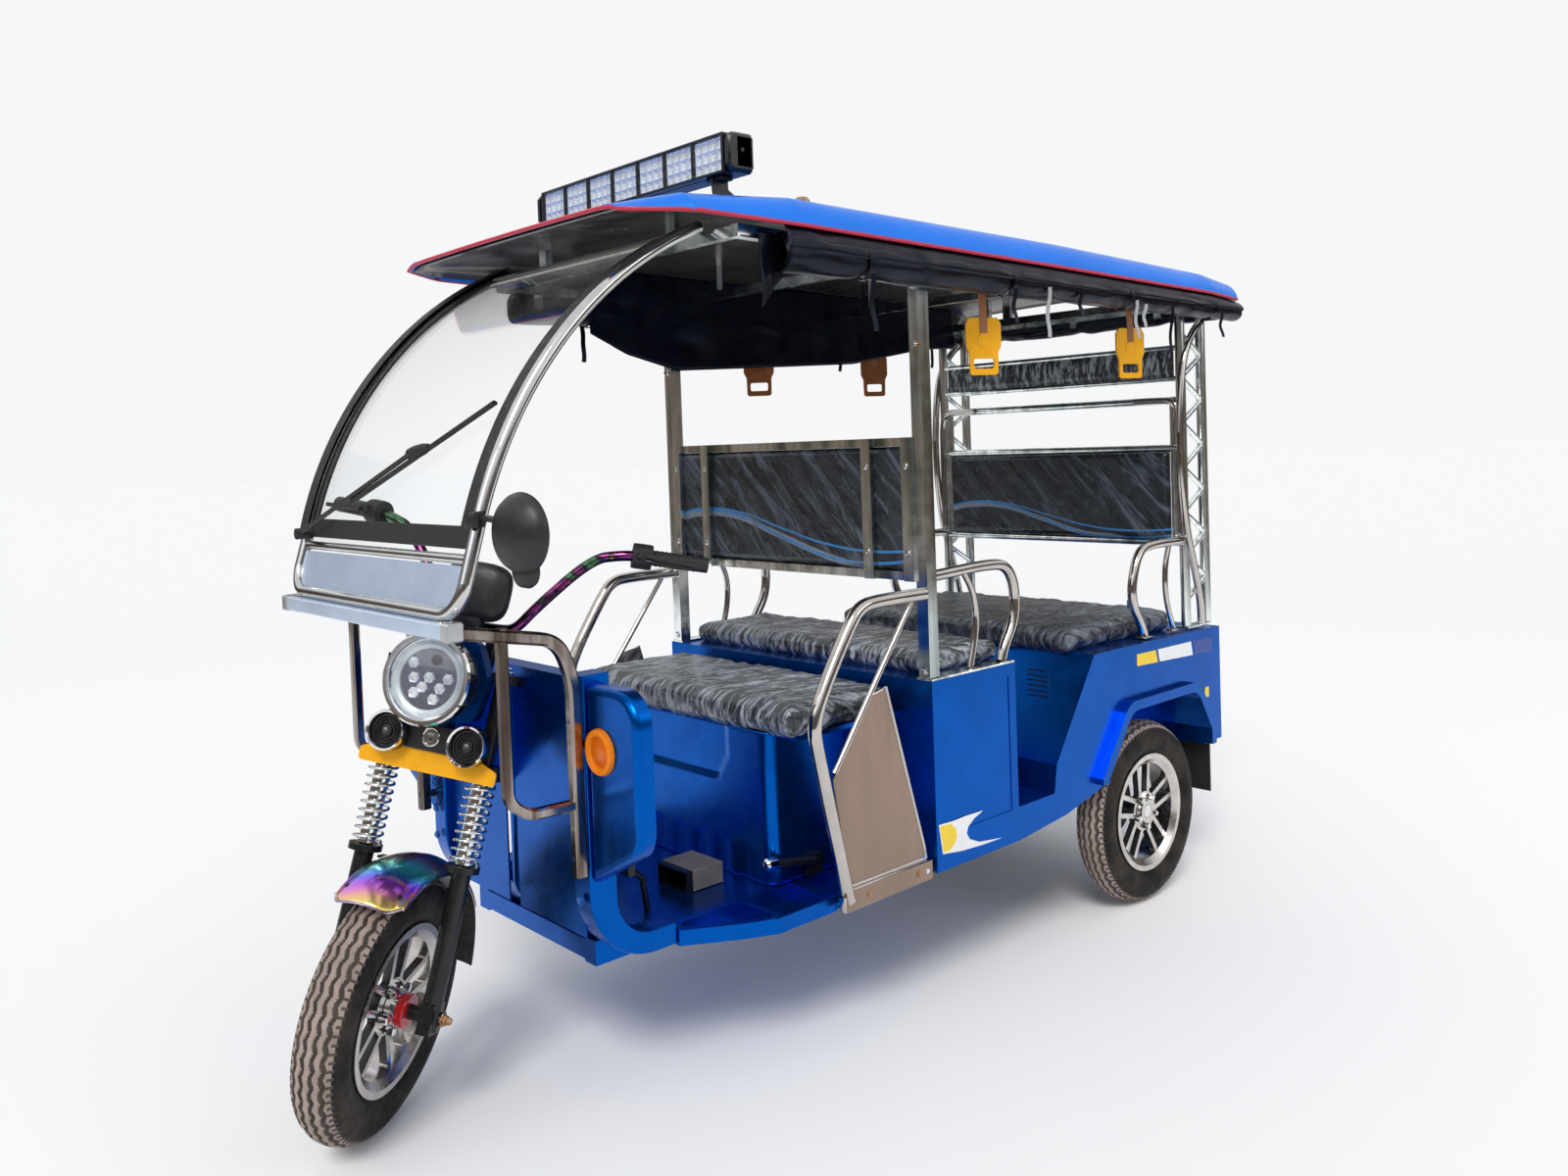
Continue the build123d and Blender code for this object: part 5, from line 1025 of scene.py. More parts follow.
piece("light_bar_cells", cells, "body", ["reflector", "led"], 20)
piece("light_bar_lenses", lenses, "body", ["clear"], 30)

# Headlight and horns. The headlight's rings: (slot, profile)
HEAD_T = 625
LAMP_RINGS = (
    (0, [(0, -12), (52, -8), (74, 8), (84, 34), (88, 66), (88, 82), (80, 82), (80, 60), (0, 60)]),
    (1, [(82, 78), (90, 80), (90, 99), (86.5, 104), (80, 104), (78, 100), (78, 78)]),
    (1, [(78, 92), (74, 94), (73, 88), (78, 86)]),
    (2, [(73.5, 78), (73.5, 90), (66, 93), (59, 90), (57, 78)]),
    (3, [(57, 76), (57, 84), (0, 84)]),
    (7, [(84, 96), (84, 98), (60, 101), (30, 103.5), (0, 104.2), (0, 102), (30, 101), (60, 98.5), (84, 95)]),
)
lamp_shape = Shape()
back = on_fork(0, -60, HEAD_T)
for slot, profile in LAMP_RINGS:
    lathe(lamp_shape, back, -fork_y, profile, 64, slot)
for u, v in [(-37, 26), (-30, -2), (-24, -30), (1, 3), (-9, -17), (18, -36), (27, -14), (40, 6)]:
    place = on_fork(u, -60 - 84, HEAD_T + v)
    lathe(lamp_shape, place, -fork_y, [(2.5, 1), (6, 5), (10.5, 7), (11.5, 6), (11.5, 0)], 6, 4, fork_x)
    lathe(lamp_shape, place, -fork_y, [(0, 1), (4, 1), (3, 3), (0, 4)], 10, 5)
lathe(lamp_shape, on_fork(7, -144, HEAD_T + 38), -fork_y, [(10, 0), (10, 4), (8, 6), (0, 6)], 24, 6)
lamp_looks = ["black_metal", "chrome", "frosted", "lamp_disc", "reflector", "led", "black_metal", "clear"]
piece("headlight_unit", lamp_shape, "fork", lamp_looks, 30, ["headlight"])

horn = Shape()
for sign in (1, -1):
    place = on_fork(sign * 86, -72, 511)
    lathe(horn, place, -fork_y, [(0, 0), (36, 0), (39, 6), (39, 26), (36, 28), (36, 22), (0, 22)], 48, 0)
    lathe(horn, place, -fork_y, [(33, 26), (35, 34), (39, 37), (40, 34), (40, 25), (37, 22)], 48, 1)
    for r in (29, 23, 17):
        wave = [(r - 2.2, 21), (r - 2.0, 26), (r, 28), (r + 2.0, 26), (r + 2.2, 21)]
        lathe(horn, place, -fork_y, wave, 48, 0)
    lathe(horn, place, -fork_y, [(12, 21), (11, 28), (8, 30), (0, 30)], 32, 0)
    lathe(horn, place, -fork_y, [(6, 29), (5, 31.5), (0, 32)], 24, 1)
piece("horn_pair", horn, "fork", ["plastic", "chrome"], 30, ["horns"])

plate = Shape()
slab(plate, [(-52, -26), (52, -26), (58, -18), (48, 26), (-48, 26), (-58, -18)],
     lambda u, v, h: on_fork(u, -74 - h, 512 + v), 0, 6, 1.5)
badge = [(19, 0), (19, 2), (17, 3), (15.5, 2), (15.5, 0.6), (9, 0.6), (8, 2.4), (0, 3)]
lathe(plate, on_fork(0, -79.5, 514), -fork_y, badge, 32, 1)
piece("horn_plate", plate, "fork", ["plastic", "stainless"], 30)

SLEEVE = [(15, 0), (19.5, 1), (19.5, 6), (17, 8), (17, 157), (19.5, 159), (19.5, 163), (15, 164)]
SLEEVE_CAP = [(16, 0), (16, 5), (12, 7), (12, 12), (9, 14), (0, 14)]
sleeves = Shape()
for sign in (1, -1):
    lathe(sleeves, on_fork(sign * 105, -36, 287), fork_up, SLEEVE, 32)
    lathe(sleeves, on_fork(sign * 105, -36, 658), fork_up, SLEEVE_CAP, 24)
piece("fork_sleeves", sleeves, "fork", ["chrome"], 40)

# Front fender: a crowned sheet with rounded front corners and a rolled rim
mudguard = Shape()
GUARD_R, GUARD_HALF, GUARD_END = 286.0, 67.0, 138.0


def on_guard(x, angle, r):
    a = math.radians(angle)
    return on_fork(x, -30 - r * math.cos(a), r * math.sin(a))


def guard_start(side):
    """Angle at which the sheet begins, later toward its rounded corners."""
    return 49.0 + 5.5 * max(0.0, side - 0.62) ** 2 / 0.144


across = [-1.03, -1.03, -1.0] + [i / 12 for i in range(-11, 12)] + [1.0, 1.03, 1.03]
rows, places = [], []
for i in range(61):
    row = []
    for k, u in enumerate(across):
        side = min(abs(u), 1)
        begin = guard_start(side)
        angle = begin + (GUARD_END - begin) * i / 60
        r = GUARD_R - 22 * side**2 - (7 if k in (0, len(across) - 1) else 2 if side == 1 else 0)
        row.append(on_guard(GUARD_HALF * u, angle, r))
        places.append((i / 60, (u + 1.03) / 2.06))
    rows.append(row)
grid(mudguard, rows)
fender = piece("iridescent_fender", mudguard, "fork", ["fender"], 60, ["front_fender"])
uv = fender.data.uv_layers.new(name="sweep")
for loop in fender.data.loops:
    uv.data[loop.index].uv = places[loop.vertex_index]
thicken(fender, 0.0026)
lip = Shape()
front_edge = [on_guard(GUARD_HALF * u, guard_start(abs(u)), GUARD_R - 1.5 - 22 * u * u)
              for u in (i / 16 for i in range(-16, 17))]
sweep(lip, front_edge, circle(2.6, 8))
for sign in (1, -1):
    side_edge = [on_guard(sign * (GUARD_HALF + 2), 55 + i * 83 / 30, GUARD_R - 29) for i in range(31)]
    sweep(lip, side_edge, circle(2.4, 8))
    block(lip, on_guard(sign * 76, 97, 262), (26, 24, 5), 1, FORK_AXES, 1)
    for step in (58, 97, 134):
        out = on_guard(sign * 52, step, 300) - on_guard(sign * 52, step, 200)
        bolt(lip, on_guard(sign * 52, step, GUARD_R - 14), out, 4, 2.5, 1)
piece("fender_rim", lip, "fork", ["fender_lip", "black_metal"], 40)


# Hub caps, lug blocks and axle nuts
def lugs(shape, centre, up, across, axle, size):
    """Five blocks round a hub."""
    for k in range(5):
        turn = math.tau * (k + 0.5) / 5
        out = up * math.cos(turn) + across * math.sin(turn)
        block(shape, centre + out * 0.042, size, 2.5, (axle, out, axle.cross(out)))


hub = Shape()
lathe(hub, FRONT_HUB, fork_x, [(25, 18), (31, 20), (31.5, 41), (30, 42)], 40, 0)
lathe(hub, FRONT_HUB, fork_x, [(30, 42), (32, 43), (32, 57), (29, 60.3), (14.6, 60.3)], 40, 1)
lugs(hub, FRONT_HUB + fork_x * 0.030, fork_up, fork_y, fork_x, (20, 17, 15))
piece("front_hub", hub, "front_wheel", ["chrome", "hub_red"], 35)
NUT = [(0, -1), (14.5, -1), (14.5, 2), (10, 3), (10, 9), (7, 10), (7, 16), (5, 18), (0, 18)]
nut = Shape()
for sign in (1, -1):
    lathe(nut, on_fork(sign * 129, -30, 0), fork_x * sign, NUT, 6)
piece("axle_nuts", nut, "fork", ["brass"], 30)
for sign, side in SIDES:
    cap, centre = Shape(), REAR_HUBS[side]
    lathe(cap, centre, X * sign, [(0, 34), (18, 34), (24, 33.5), (29, 32), (30.6, 28), (30.6, 18)], 40)
    lugs(cap, centre + X * sign * 0.033, Z, Y, X, (14, 15, 14))
    piece(f"rear_{side}_hub_cap", cap, f"rear_{side}_wheel", ["chrome"], 35)

# Shelf skin over the guard's top bar, with end blocks
GUARD_TUBE = 25
SHELF_Z = 995.2
shelf = Shape()
shelf_y = (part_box("front_guard")[0][1] - SHIFT.y) * 1000 + GUARD_TUBE / 2
block(shelf, at(0, shelf_y, SHELF_Z), (2 * 364 + 4, 28.6, 28.6), 2.5)
for sign in (1, -1):
    block(shelf, at(sign * 364, shelf_y, SHELF_Z), (26, 33, 33), 3, slot=1)
    block(shelf, at(sign * 321, shelf_y + 3, SHELF_Z), (34, 33, 31.6), 3, slot=1)
# The shelf bar takes the visor look, blue from its painted sky reflection
piece("shelf_skin", shelf, "body", ["visor", "shelf_block"], 30)

# Hanging grips: a key-shaped plate with a finger slot, turned a little on its strap
GRIP = [(-31, -65), (31, -65), (36, -60), (37, -12), (45, 4), (45, 56), (36, 71), (-36, 71), (-45, 56),
        (-45, 4), (-37, -12), (-36, -60)]
GRIP_SLOT = [(-23, -50), (23, -50), (26, -46), (26, -30), (23, -26), (-23, -26), (-26, -30), (-26, -46)]
GRIP_THICK = 7
# side: (y, degrees it is turned) of each grip
GRIP_PLACES = {"left": ((-648, 28), (-8, 22)), "right": ((-566, 44), (-66, 26))}
for sign, side in SIDES:
    tags = Shape()
    for y, turn in GRIP_PLACES[side]:
        a = math.radians(turn)
        u_axis, n_axis = Y * math.cos(a) + X * math.sin(a), X * math.cos(a) - Y * math.sin(a)
        centre = at(sign * 451, y, 1509)
        ring = [Vector((u, v, 0)) for u, v in GRIP + GRIP_SLOT]
        cells_2d = geometry.tessellate_polygon([ring[:len(GRIP)], ring[len(GRIP):]])
        points = [centre + u_axis * (p.x / 1000) + Z * (p.y / 1000) + n_axis * (h / 1000)
                  for h in (-GRIP_THICK / 2, GRIP_THICK / 2) for p in ring]
        total, outer, inner = len(ring), len(GRIP), len(GRIP_SLOT)
        faces = [list(t) for t in cells_2d] + [[i + total for i in t][::-1] for t in cells_2d]
        faces += [[k, (k + 1) % outer, total + (k + 1) % outer, total + k] for k in range(outer)]
        faces += [[outer + k, outer + (k + 1) % inner, total + outer + (k + 1) % inner, total + outer + k]
                  for k in range(inner)]
        tags.add(points, faces, 0)
        stud = [(16, 0), (16, 1.6), (14, 2), (13, 1), (0, 1)]
        lathe(tags, centre + Z * 0.018 + n_axis * 0.0033, n_axis, stud, 28)
        strap = ((0.034, 0.0044), (0.071, 0.0044), (0.085, 0.003), (0.12, 0), (0.168, 0))
        sweep(tags, [centre + Z * z + n_axis * h for z, h in strap], rect(20, 1.8), 1, n_axis)
    # The right-hand grips are the same yellow plastic, with painted shade
    grip_looks = ["yellow" if sign == 1 else "shaded_grip_yellow", "grip_strap"]
    made = piece(f"hanging_grips_{side}", tags, "body", grip_looks, 35, ["hanging_grips"])
    edge = made.modifiers.new("edge", "BEVEL")
    edge.width, edge.segments, edge.angle_limit = 0.0012, 2, math.radians(40)

# Cloth that joins each roll to the brim, and the loose fall on the right
for sign, side in SIDES:
    rows = []
    for i in range(121):
        y = -1345 + 1810 * i / 120
        half, edge = roof_at(y)[1:3]
        z, r = roll_z(y), along_roll(y, 40, -12)
        wave = 2.0 * mathnoise.noise(Vector((y / 70, 3 * sign, 0)))
        wave += 1.2 * mathnoise.noise(Vector((y / 23, 1, sign)))
        top = at(sign * min(half - 7, 523), y, edge - 6)
        low = at(sign * min(508 + 0.93 * r, 541), y, z + 2)
        row = []
        for k in range(7):
            t = k / 6
            p = top.lerp(low, t) + X * (sign * (3.0 * math.sin(math.pi * t) + wave * t) / 1000)
            row.append(p)
        rows.append(row)
    hung_cloth(f"brim_cloth_{side}", rows, "curtain")

# The loose fall hangs at one x; its lower edge is at these (y, z)
FALL_X = -416
FALL = [(-1180, 1604), (-1064, 1552), (-900, 1511), (-649, 1522), (-413, 1533), (-199, 1543), (133, 1598),
        (300, 1606)]
rows = []
for i in range(121):
    y = -1180 + 1480 * i / 120
    bottom = np.interp(y, [p[0] for p in FALL], [p[1] for p in FALL])
    top = roof_z(FALL_X, y) - 14
    row = []
    for k in range(25):
        t = k / 24
        fold = 5.5 * mathnoise.noise(Vector((y / 110, t * 0.8, 4)))
        fold += 2.0 * mathnoise.noise(Vector((y / 30, t * 2, 9)))
        row.append(at(FALL_X + fold * t, y, top + (bottom - top) * t))
    rows.append(row)
hung_cloth("loose_curtain_right", rows, "curtain_navy")

# Gusset skins, stickers, louvres and side reflectors
trim = Shape()
GUSSET = [(-1170, 355), (-921, 355), (-1038, 756), (-1091, 745), (-1202, 590)]
for sign in (1, -1):
    slab(trim, GUSSET, lambda u, v, h: at(sign * (459.2 + h), u, v), 0, 1.2, 0.5, 0)
    rim = beside(sign * 459.5, ((-1170, 353), (-919, 353), (-1036, 759)))
    sweep(trim, rounded(rim, 10), circle(4.5, 10), 1)
    block(trim, at(sign * 472.4, -1052, 329), (1.4, 276, 42), 0.5, slot=0)
piece("gusset_skins", trim, "body", ["warm_steel", "rail_steel"], 30)

# Stickers: three fields along the tub at (y, top z, bottom z), a crescent and a drop
FIELD_ENDS = [(-59, 694, 662), (48, 693, 658), (238, 691, 651), (345, 689, 647)]
FIELD_LEAN, FIELD_GAP = 9, 2
CRESCENT = [(-897, 426), (-850, 424), (-800, 425), (-738, 423), (-772, 412), (-794, 398), (-800, 384),
            (-790, 368), (-755, 353), (-671, 342), (-740, 343), (-820, 348), (-886, 357)]
DROP = [(-894, 422), (-856, 420), (-838, 404), (-834, 388), (-843, 372), (-862, 360), (-884, 360)]
stickers = Shape()
for sign in (1, -1):
    def stuck(u, v, h, sign=sign):
        return at(sign * (480.15 + h), u, v)

    for k, (a, b) in enumerate(zip(FIELD_ENDS, FIELD_ENDS[1:])):
        low_start = a[0] + (FIELD_LEAN if k else 0)
        high_end = b[0] - FIELD_GAP - (FIELD_LEAN if k < 2 else 0)
        field = [(low_start, a[2]), (b[0] - FIELD_GAP, b[2]), (high_end, b[1]), (a[0], a[1])]
        slab(stickers, field, stuck, 0, 0.4, 0.1, k)
    slab(stickers, CRESCENT, stuck, 0, 0.4, 0.1, 1)
    slab(stickers, DROP, stuck, 0.3, 0.7, 0.1, 0)
    block(stickers, stuck(309, 532, 1.0), (2, 22, 30), 0.8, slot=0)
piece("stickers", stickers, "body", ["sticker_yellow", "sticker_white", "sticker_navy"], 30)

louvres = Shape()
for sign in (1, -1):
    for k in range(6):
        block(louvres, at(sign * 431, -441.5, 638 + 13 * k), (64, 4, 3), 0.8)
piece("louvres", louvres, "body", ["black_metal"], 30)

# Grab rails and armrests with wide, smooth bends: (x, radius, sides, turns of smoothing, points of (y, z))
RAILS = (
    (462, 15, 20, 3, [(-1173, 324), (-1250, 660), (-1258, 712), (-1236, 770), (-1150, 900), (-1112, 944),
                      (-1050, 950), (-903, 949)]),
    (462, 6.5, 12, 1, [(-946, 936), (-1203, 604)]),
    (456, 13, 18, 3, [(-866, 985), (-660, 994), (-590, 985), (-560, 930), (-566, 850), (-610, 790),
                      (-622, 757)]),
    (456, 8, 12, 3, [(-758, 990), (-716, 930), (-712, 850), (-740, 757)]),
    (442, 13, 18, 3, [(256, 978), (100, 980), (24, 968), (-14, 880), (-12, 820), (30, 760), (42, 726)]),
    (442, 8, 12, 3, [(188, 978), (160, 910), (160, 820), (200, 726)]),
)
# Feet of the armrests: (x, y, z, half size)
RAIL_FEET = ((456, -622, 755, 24), (456, -740, 755, 18), (442, 42, 725, 24), (442, 200, 725, 18))
GUSSET_BACK = [(-1170, 353), (-919, 353), (-1035, 758), (-1092, 748), (-1204, 590)]
rails = Shape()
for sign in (1, -1):
    for x, radius, sides, turns, line in RAILS:
        sweep(rails, smooth(beside(sign * x, line), turns), circle(radius, sides))
    slab(rails, GUSSET_BACK, lambda u, v, h: at(sign * (456 + h), u, v), 0, 3, 0.4)
    block(rails, at(sign * 461, -1052, 329), (22, 280, 46), 1.5)
    block(rails, at(sign * 449, -1052, 314), (24, 278, 15), 1.0)
    for x, y, z, half in RAIL_FEET:
        block(rails, at(sign * x, y, z), (1.6 * half, 2 * half, 5), 1)
piece("bent_rails", rails, "body", ["rail_steel"], 45, ["grab_rails"])

# Handlebar with smooth bends and levers under the grips
BAR_SIDE = [(52, 32, 742), (80, 32, 752), (110, 34, 800), (205, 40, 920), (262, 48, 938), (300, 60, 944),
            (432, 115, 953.5)]
steer = Shape()
line = [(-x, y, z) for x, y, z in BAR_SIDE[::-1]] + BAR_SIDE
sweep(steer, smooth([on_fork(*p) for p in line]), circle(11, 20))
piece("bent_handlebar", steer, "fork", ["tinted_bar"], 60, ["handlebar"])
# A lever's points: (along the grip, y, z) from the grip's inner end
LEVER = ((4, -24, -6), (24, -44, -12), (60, -50, -16), (104, -44, -16), (124, -40, -14))
GRIP_RIB = [(15.6, -3), (16.9, -2), (16.9, 2), (15.6, 3)]
levers = Shape()
for sign in (1, -1):
    inner, outer = Vector((sign * 300, 60, 944)), Vector((sign * 424, 112, 953))
    along = (outer - inner).normalized()
    axis = on_fork(*(inner + along)) - on_fork(*inner)
    path = [inner + along * a + Vector((0, b, c)) for a, b, c in LEVER]
    sweep(levers, smooth([on_fork(*p) for p in path]), circle(4.5, 12), 1)
    for step in range(9):
        lathe(levers, on_fork(*(inner + along * (34 + 10 * step))), axis, GRIP_RIB, 20)
    lathe(levers, on_fork(*(inner - along * 14)), axis, [(20, 0), (26.6, 3), (26.6, 34), (20, 38)], 24)
piece("levers", levers, "fork", ["rubber", "black_metal"], 40)


# Rounded instrument pod
def power(value, exponent):
    return math.copysign(abs(value) ** exponent, value)


pod = Shape()
rows = []
for i in range(17):
    t = math.pi * i / 16 - math.pi / 2
    row = []
    for k in range(40):
        s = math.tau * k / 40
        r = power(math.cos(t), 0.55)
        row.append(on_fork(73 * r * power(math.cos(s), 0.7), -23 + 34 * r * power(math.sin(s), 0.8),
                           811 + 60 * power(math.sin(t), 0.6)))
    rows.append(row)
grid(pod, rows, closed=True)
lathe(pod, on_fork(0, 12.5, 812), fork_y, [(46, -6), (46, 2), (42, 4), (41, 1), (0, 1)], 32, 1)
block(pod, on_fork(0, -30, 752), (58, 34, 40), 4, FORK_AXES, 0)
piece("rounded_pod", pod, "fork", ["plastic", "clear_dark"], 50, ["instrument_pod"])

# Turn lamps with ringed lenses, three-part tail lamps and the blank plate
turn_lamps = Shape()
for sign in (1, -1):
    place = at(sign * 368, -1713.5, 735)
    lathe(turn_lamps, place, -Y, [(44, -15.3), (44.5, 5), (42, 11), (36, 13), (31, 11), (29, 6)], 44, 0)
    lathe(turn_lamps, place, -Y, [(29, 6), (26, 6), (24, 7.5), (12, 10), (0, 10.5)], 44, 1)
piece("turn_lamp_lenses", turn_lamps, "body", ["orange", "orange_deep"], 35, ["signal_lamps"])
tail_set = Shape()
for sign in (1, -1):
    block(tail_set, at(sign * 385, 399, 600), (114, 13.4, 84), 4, slot=0)
    for x0, x1, slot in ((388, 438, 1), (354, 386, 2), (332, 352, 3)):
        block(tail_set, at(sign * (x0 + x1) / 2, 411, 600), (x1 - x0, 15, 76), 3, slot=slot)
block(tail_set, at(0, 394.6, 610), (260, 4.6, 100), 1.5, slot=4)
for z in (563, 657):
    block(tail_set, at(0, 397.6, z), (256, 2, 5), 0.6, slot=0)
for x in (-127, 127):
    block(tail_set, at(x, 397.6, 610), (5, 2, 98), 0.6, slot=0)
for x in (-105, 105):
    bolt(tail_set, at(x, 397, 610), Y, 5, 3, 5)
tail_looks = ["plastic", "tail_red", "orange", "frosted", "plate_white", "chrome"]
piece("tail_lamps_and_plate", tail_set, "body", tail_looks, 30, ["signal_lamps"])

# Pressed skin of the driver's seat box
skin_shape = Shape()
outline = []
for sign in (-1, 1):
    flank = [(sign * 291.5, y) for y in (-1000, -1060, -1120, -1170, -1205)]
    flank += [(sign * (268 + 23.5 * math.cos(a)), -1210 - 23.5 * math.sin(a))
              for a in (math.radians(9 * j) for j in range(11))]
    outline += flank if sign == -1 else flank[::-1]
path2d = []
for p, q in zip(outline, outline[1:]):
    steps = max(1, int(math.dist(p, q) / 9))
    path2d += [(p[0] + (q[0] - p[0]) * j / steps, p[1] + (q[1] - p[1]) * j / steps) for j in range(steps)]
path2d.append(outline[-1])


def ease(value, low, high):
    t = min(max((value - low) / (high - low), 0.0), 1.0)
    return t * t * (3 - 2 * t)


SKIN_Z0, SKIN_Z1, PROUD = 331, 670, 7.0
FLUTES = (-190, -110, -30, 50, 130, 200)
rows = []
for i in range(52):
    z = SKIN_Z0 + (SKIN_Z1 - SKIN_Z0) * i / 51
    row = []
    for k, (x, y) in enumerate(path2d):
        a = path2d[max(k - 1, 0)]
        b = path2d[min(k + 1, len(path2d) - 1)]
        out = Vector((b[1] - a[1], a[0] - b[0])).normalized()
        proud = PROUD
        if y < -1228:
            edge = 540 + max(0.0, x - 119) * 1.55
            proud -= 6.0 * ease(z, edge, edge + 9) * (1 - ease(x, 150, 157)) * ease(x, -268, -255)
            low = (1 - ease(z, 400, 412)) * ease(z, 318, 330)
            for flute in FLUTES:
                proud -= 3.0 * (1 - ease(abs(x - flute), 16, 24)) * low
        row.append(at(x + out.x * proud, y + out.y * proud, z))
    rows.append(row)
grid(skin_shape, rows)
sheeted = piece("seat_box_skin", skin_shape, "body", ["body_paint"], 60)
thicken(sheeted, 0.0012)

# Pedal box lid, lever tip, studs and cap
FLOOR_TOP = 330
small = Shape()
for sign in (1, -1):
    for z in (532, 790):
        bolt(small, at(sign * 320, -1742, z), X * sign, 9, 13, 0)
    for y, z in ((-1120, 329), (-960, 329)):
        bolt(small, at(sign * 473, y, z), X * sign, 6, 4, 1)
    bolt(small, at(sign * 462, -901, 1508), -Y, 6, 5, 1)
lathe(small, at(312, -1268, 392), -Y, [(13, -24), (13.5, -22), (13.5, 0), (9, 5), (0, 6)], 20, 2)
lathe(small, at(300, 216, 790), Z, [(15, -16), (15, 8), (12, 12), (0, 12)], 24, 3)
knob = [(9, 0), (10, 10), (17, 14), (17, 20), (12, 27), (0, 30)]
lathe(small, at(400, -1180, roof_z(400, -1180) - 3), Z, knob, 24, 1)
piece("small_fittings", small, "body", ["blue_steel", "brass", "chrome", "cap_blue"], 35)
lid = Shape()
LID_Z = FLOOR_TOP + 46
block(lid, at(133.5, -1332, LID_Z + 0.8), (109, 84, 1.8), 0.5)
for x in (80, 187):
    block(lid, at(x, -1332, LID_Z - 22), (2, 84, 44), 0.5)
block(lid, at(133.5, -1290.8, LID_Z - 22), (109, 2, 44), 0.5)
for x in (91, 176):
    bolt(lid, at(x, -1378, FLOOR_TOP + 0.4), Z, 4, 3, 1)
    bolt(lid, at(x, -1284, FLOOR_TOP + 0.4), Z, 4, 3, 1)
piece("pedal_lid", lid, "body", ["khaki", "chrome"], 30)

# Mirror: a round case facing the rider on a bent arm
mirror = Shape()
MIRROR = at(478, -1930, 1162)
face = (Y + X * -0.12).normalized()
CASE = [(0, 31), (22, 30), (44, 25), (60, 14), (68, 2), (69.5, -4), (68, -8), (64, -8), (63, -5)]
lathe(mirror, MIRROR, -face, CASE, 48, 0)
lathe(mirror, MIRROR, -face, [(63, -5.5), (0, -5.5)], 48, 1)
lathe(mirror, at(471, -1915, 1098), -face, [(0, 22), (16, 20), (27, 12), (30, 0), (28, -5), (0, -6)], 32, 0)
arm = [at(383, -1958, 1186), at(410, -1950, 1188), at(440, -1948, 1182), at(472, -1938, 1168)]
sweep(mirror, smooth(arm), circle(6))
sweep(mirror, smooth([at(476, -1934, 1120), at(474, -1926, 1100)], 1), circle(10))
lathe(mirror, at(381, -1960, 1186), Z, [(17, -14), (18, -12), (18, 12), (17, 14)], 24, 0)
piece("round_mirror", mirror, "body", ["plastic", "chrome"], 40, ["mirror"])

# Rounded hoops that tie the rear trusses to the crossbars: (radius, points)
HOOPS = (
    (10, [(442, 258, 1000), (442, 258, 1250), (442, 259, 1340), (428, 260, 1383), (370, 260, 1386),
          (300, 260, 1386)]),
    (11, [(456, 236, 1290), (456, 246, 1420), (456, 268, 1520), (456, 330, 1590), (456, 372, 1618)]),
    (11, [(456, 236, 1290), (456, 240, 1150), (456, 262, 1000), (456, 300, 900), (456, 330, 800),
          (452, 340, 725)]),
)
hoops = Shape()
for sign in (1, -1):
    for radius, line in HOOPS:
        sweep(hoops, smooth([at(sign * x, y, z) for x, y, z in line]), circle(radius, 16))
piece("rear_hoops", hoops, "body", ["rail_steel"], 45)

# Loose corner of cloth at the front end of the left roll
rows = []
for i in range(21):
    t = i / 20
    row = []
    for k in range(17):
        s = k / 16
        y, low, top = -1392 + 66 * s, 1560 + 66 * s, 1712 - 4 * s
        bend = 7 * mathnoise.noise(Vector((y / 20, t * 1.5, 2))) + 6 * math.sin(2.5 * t + 3 * s)
        row.append(at(496 + bend * t, y, top + (low - top) * t))
    rows.append(row)
hung_cloth("curtain_corner", rows, "curtain")

# Front guard: square tube with smooth bends
guard = Shape()
guard_tube = rect(GUARD_TUBE, GUARD_TUBE, 5)
for sign in (1, -1):
    upright = beside(sign * 321, ((shelf_y, 992), (-1772, 948), (-1742, 872), (-1742, 497)))
    sweep(guard, rounded(upright, 46, 8), guard_tube, 0, X)
    drop = beside(sign * 321, ((-1887, 984), (-1887, 668), (-1846, 636), (-1744, 634)))
    sweep(guard, rounded(drop, 40, 8), rect(20, 20, 4), 0, X)
    for z in (532, 742):
        lathe(guard, at(sign * 311, -1742, z), Y, [(0, 0), (8, 0), (8, 39), (0, 39)], 16)
sweep(guard, [at(-364, shelf_y, SHELF_Z), at(364, shelf_y, SHELF_Z)], guard_tube)
piece("bent_guard", guard, "body", ["guard_bronze"], 40, ["front_guard"])

# Windscreen seals on the arc of the screen
ARC_Y, ARC_Z, ARC_R = -1121, 934, 860
seals = Shape()


def on_arc(x, angle, r=ARC_R):
    return at(x, ARC_Y + r * math.cos(angle), ARC_Z + r * math.sin(angle))


angles = [math.radians(a) for a in np.linspace(166.6, 112, 40)]
outward = [Vector((0, math.cos(a), math.sin(a))) for a in angles]
for x, raised, section in ((336, 3, rect(38, 9, 3)), (-342, 3, rect(26, 9, 3)), (-363, 16, rect(34, 5, 2))):
    sweep(seals, [on_arc(x, a, ARC_R + raised) for a in angles], section, 0, outward)
sweep(seals, [on_arc(x, math.radians(165.3), ARC_R + 2) for x in range(-355, 356, 71)], rect(40, 8, 2), 0,
      Vector((0, math.cos(math.radians(165)), math.sin(math.radians(165)))))
piece("windscreen_seals", seals, "body", ["rubber"], 40)

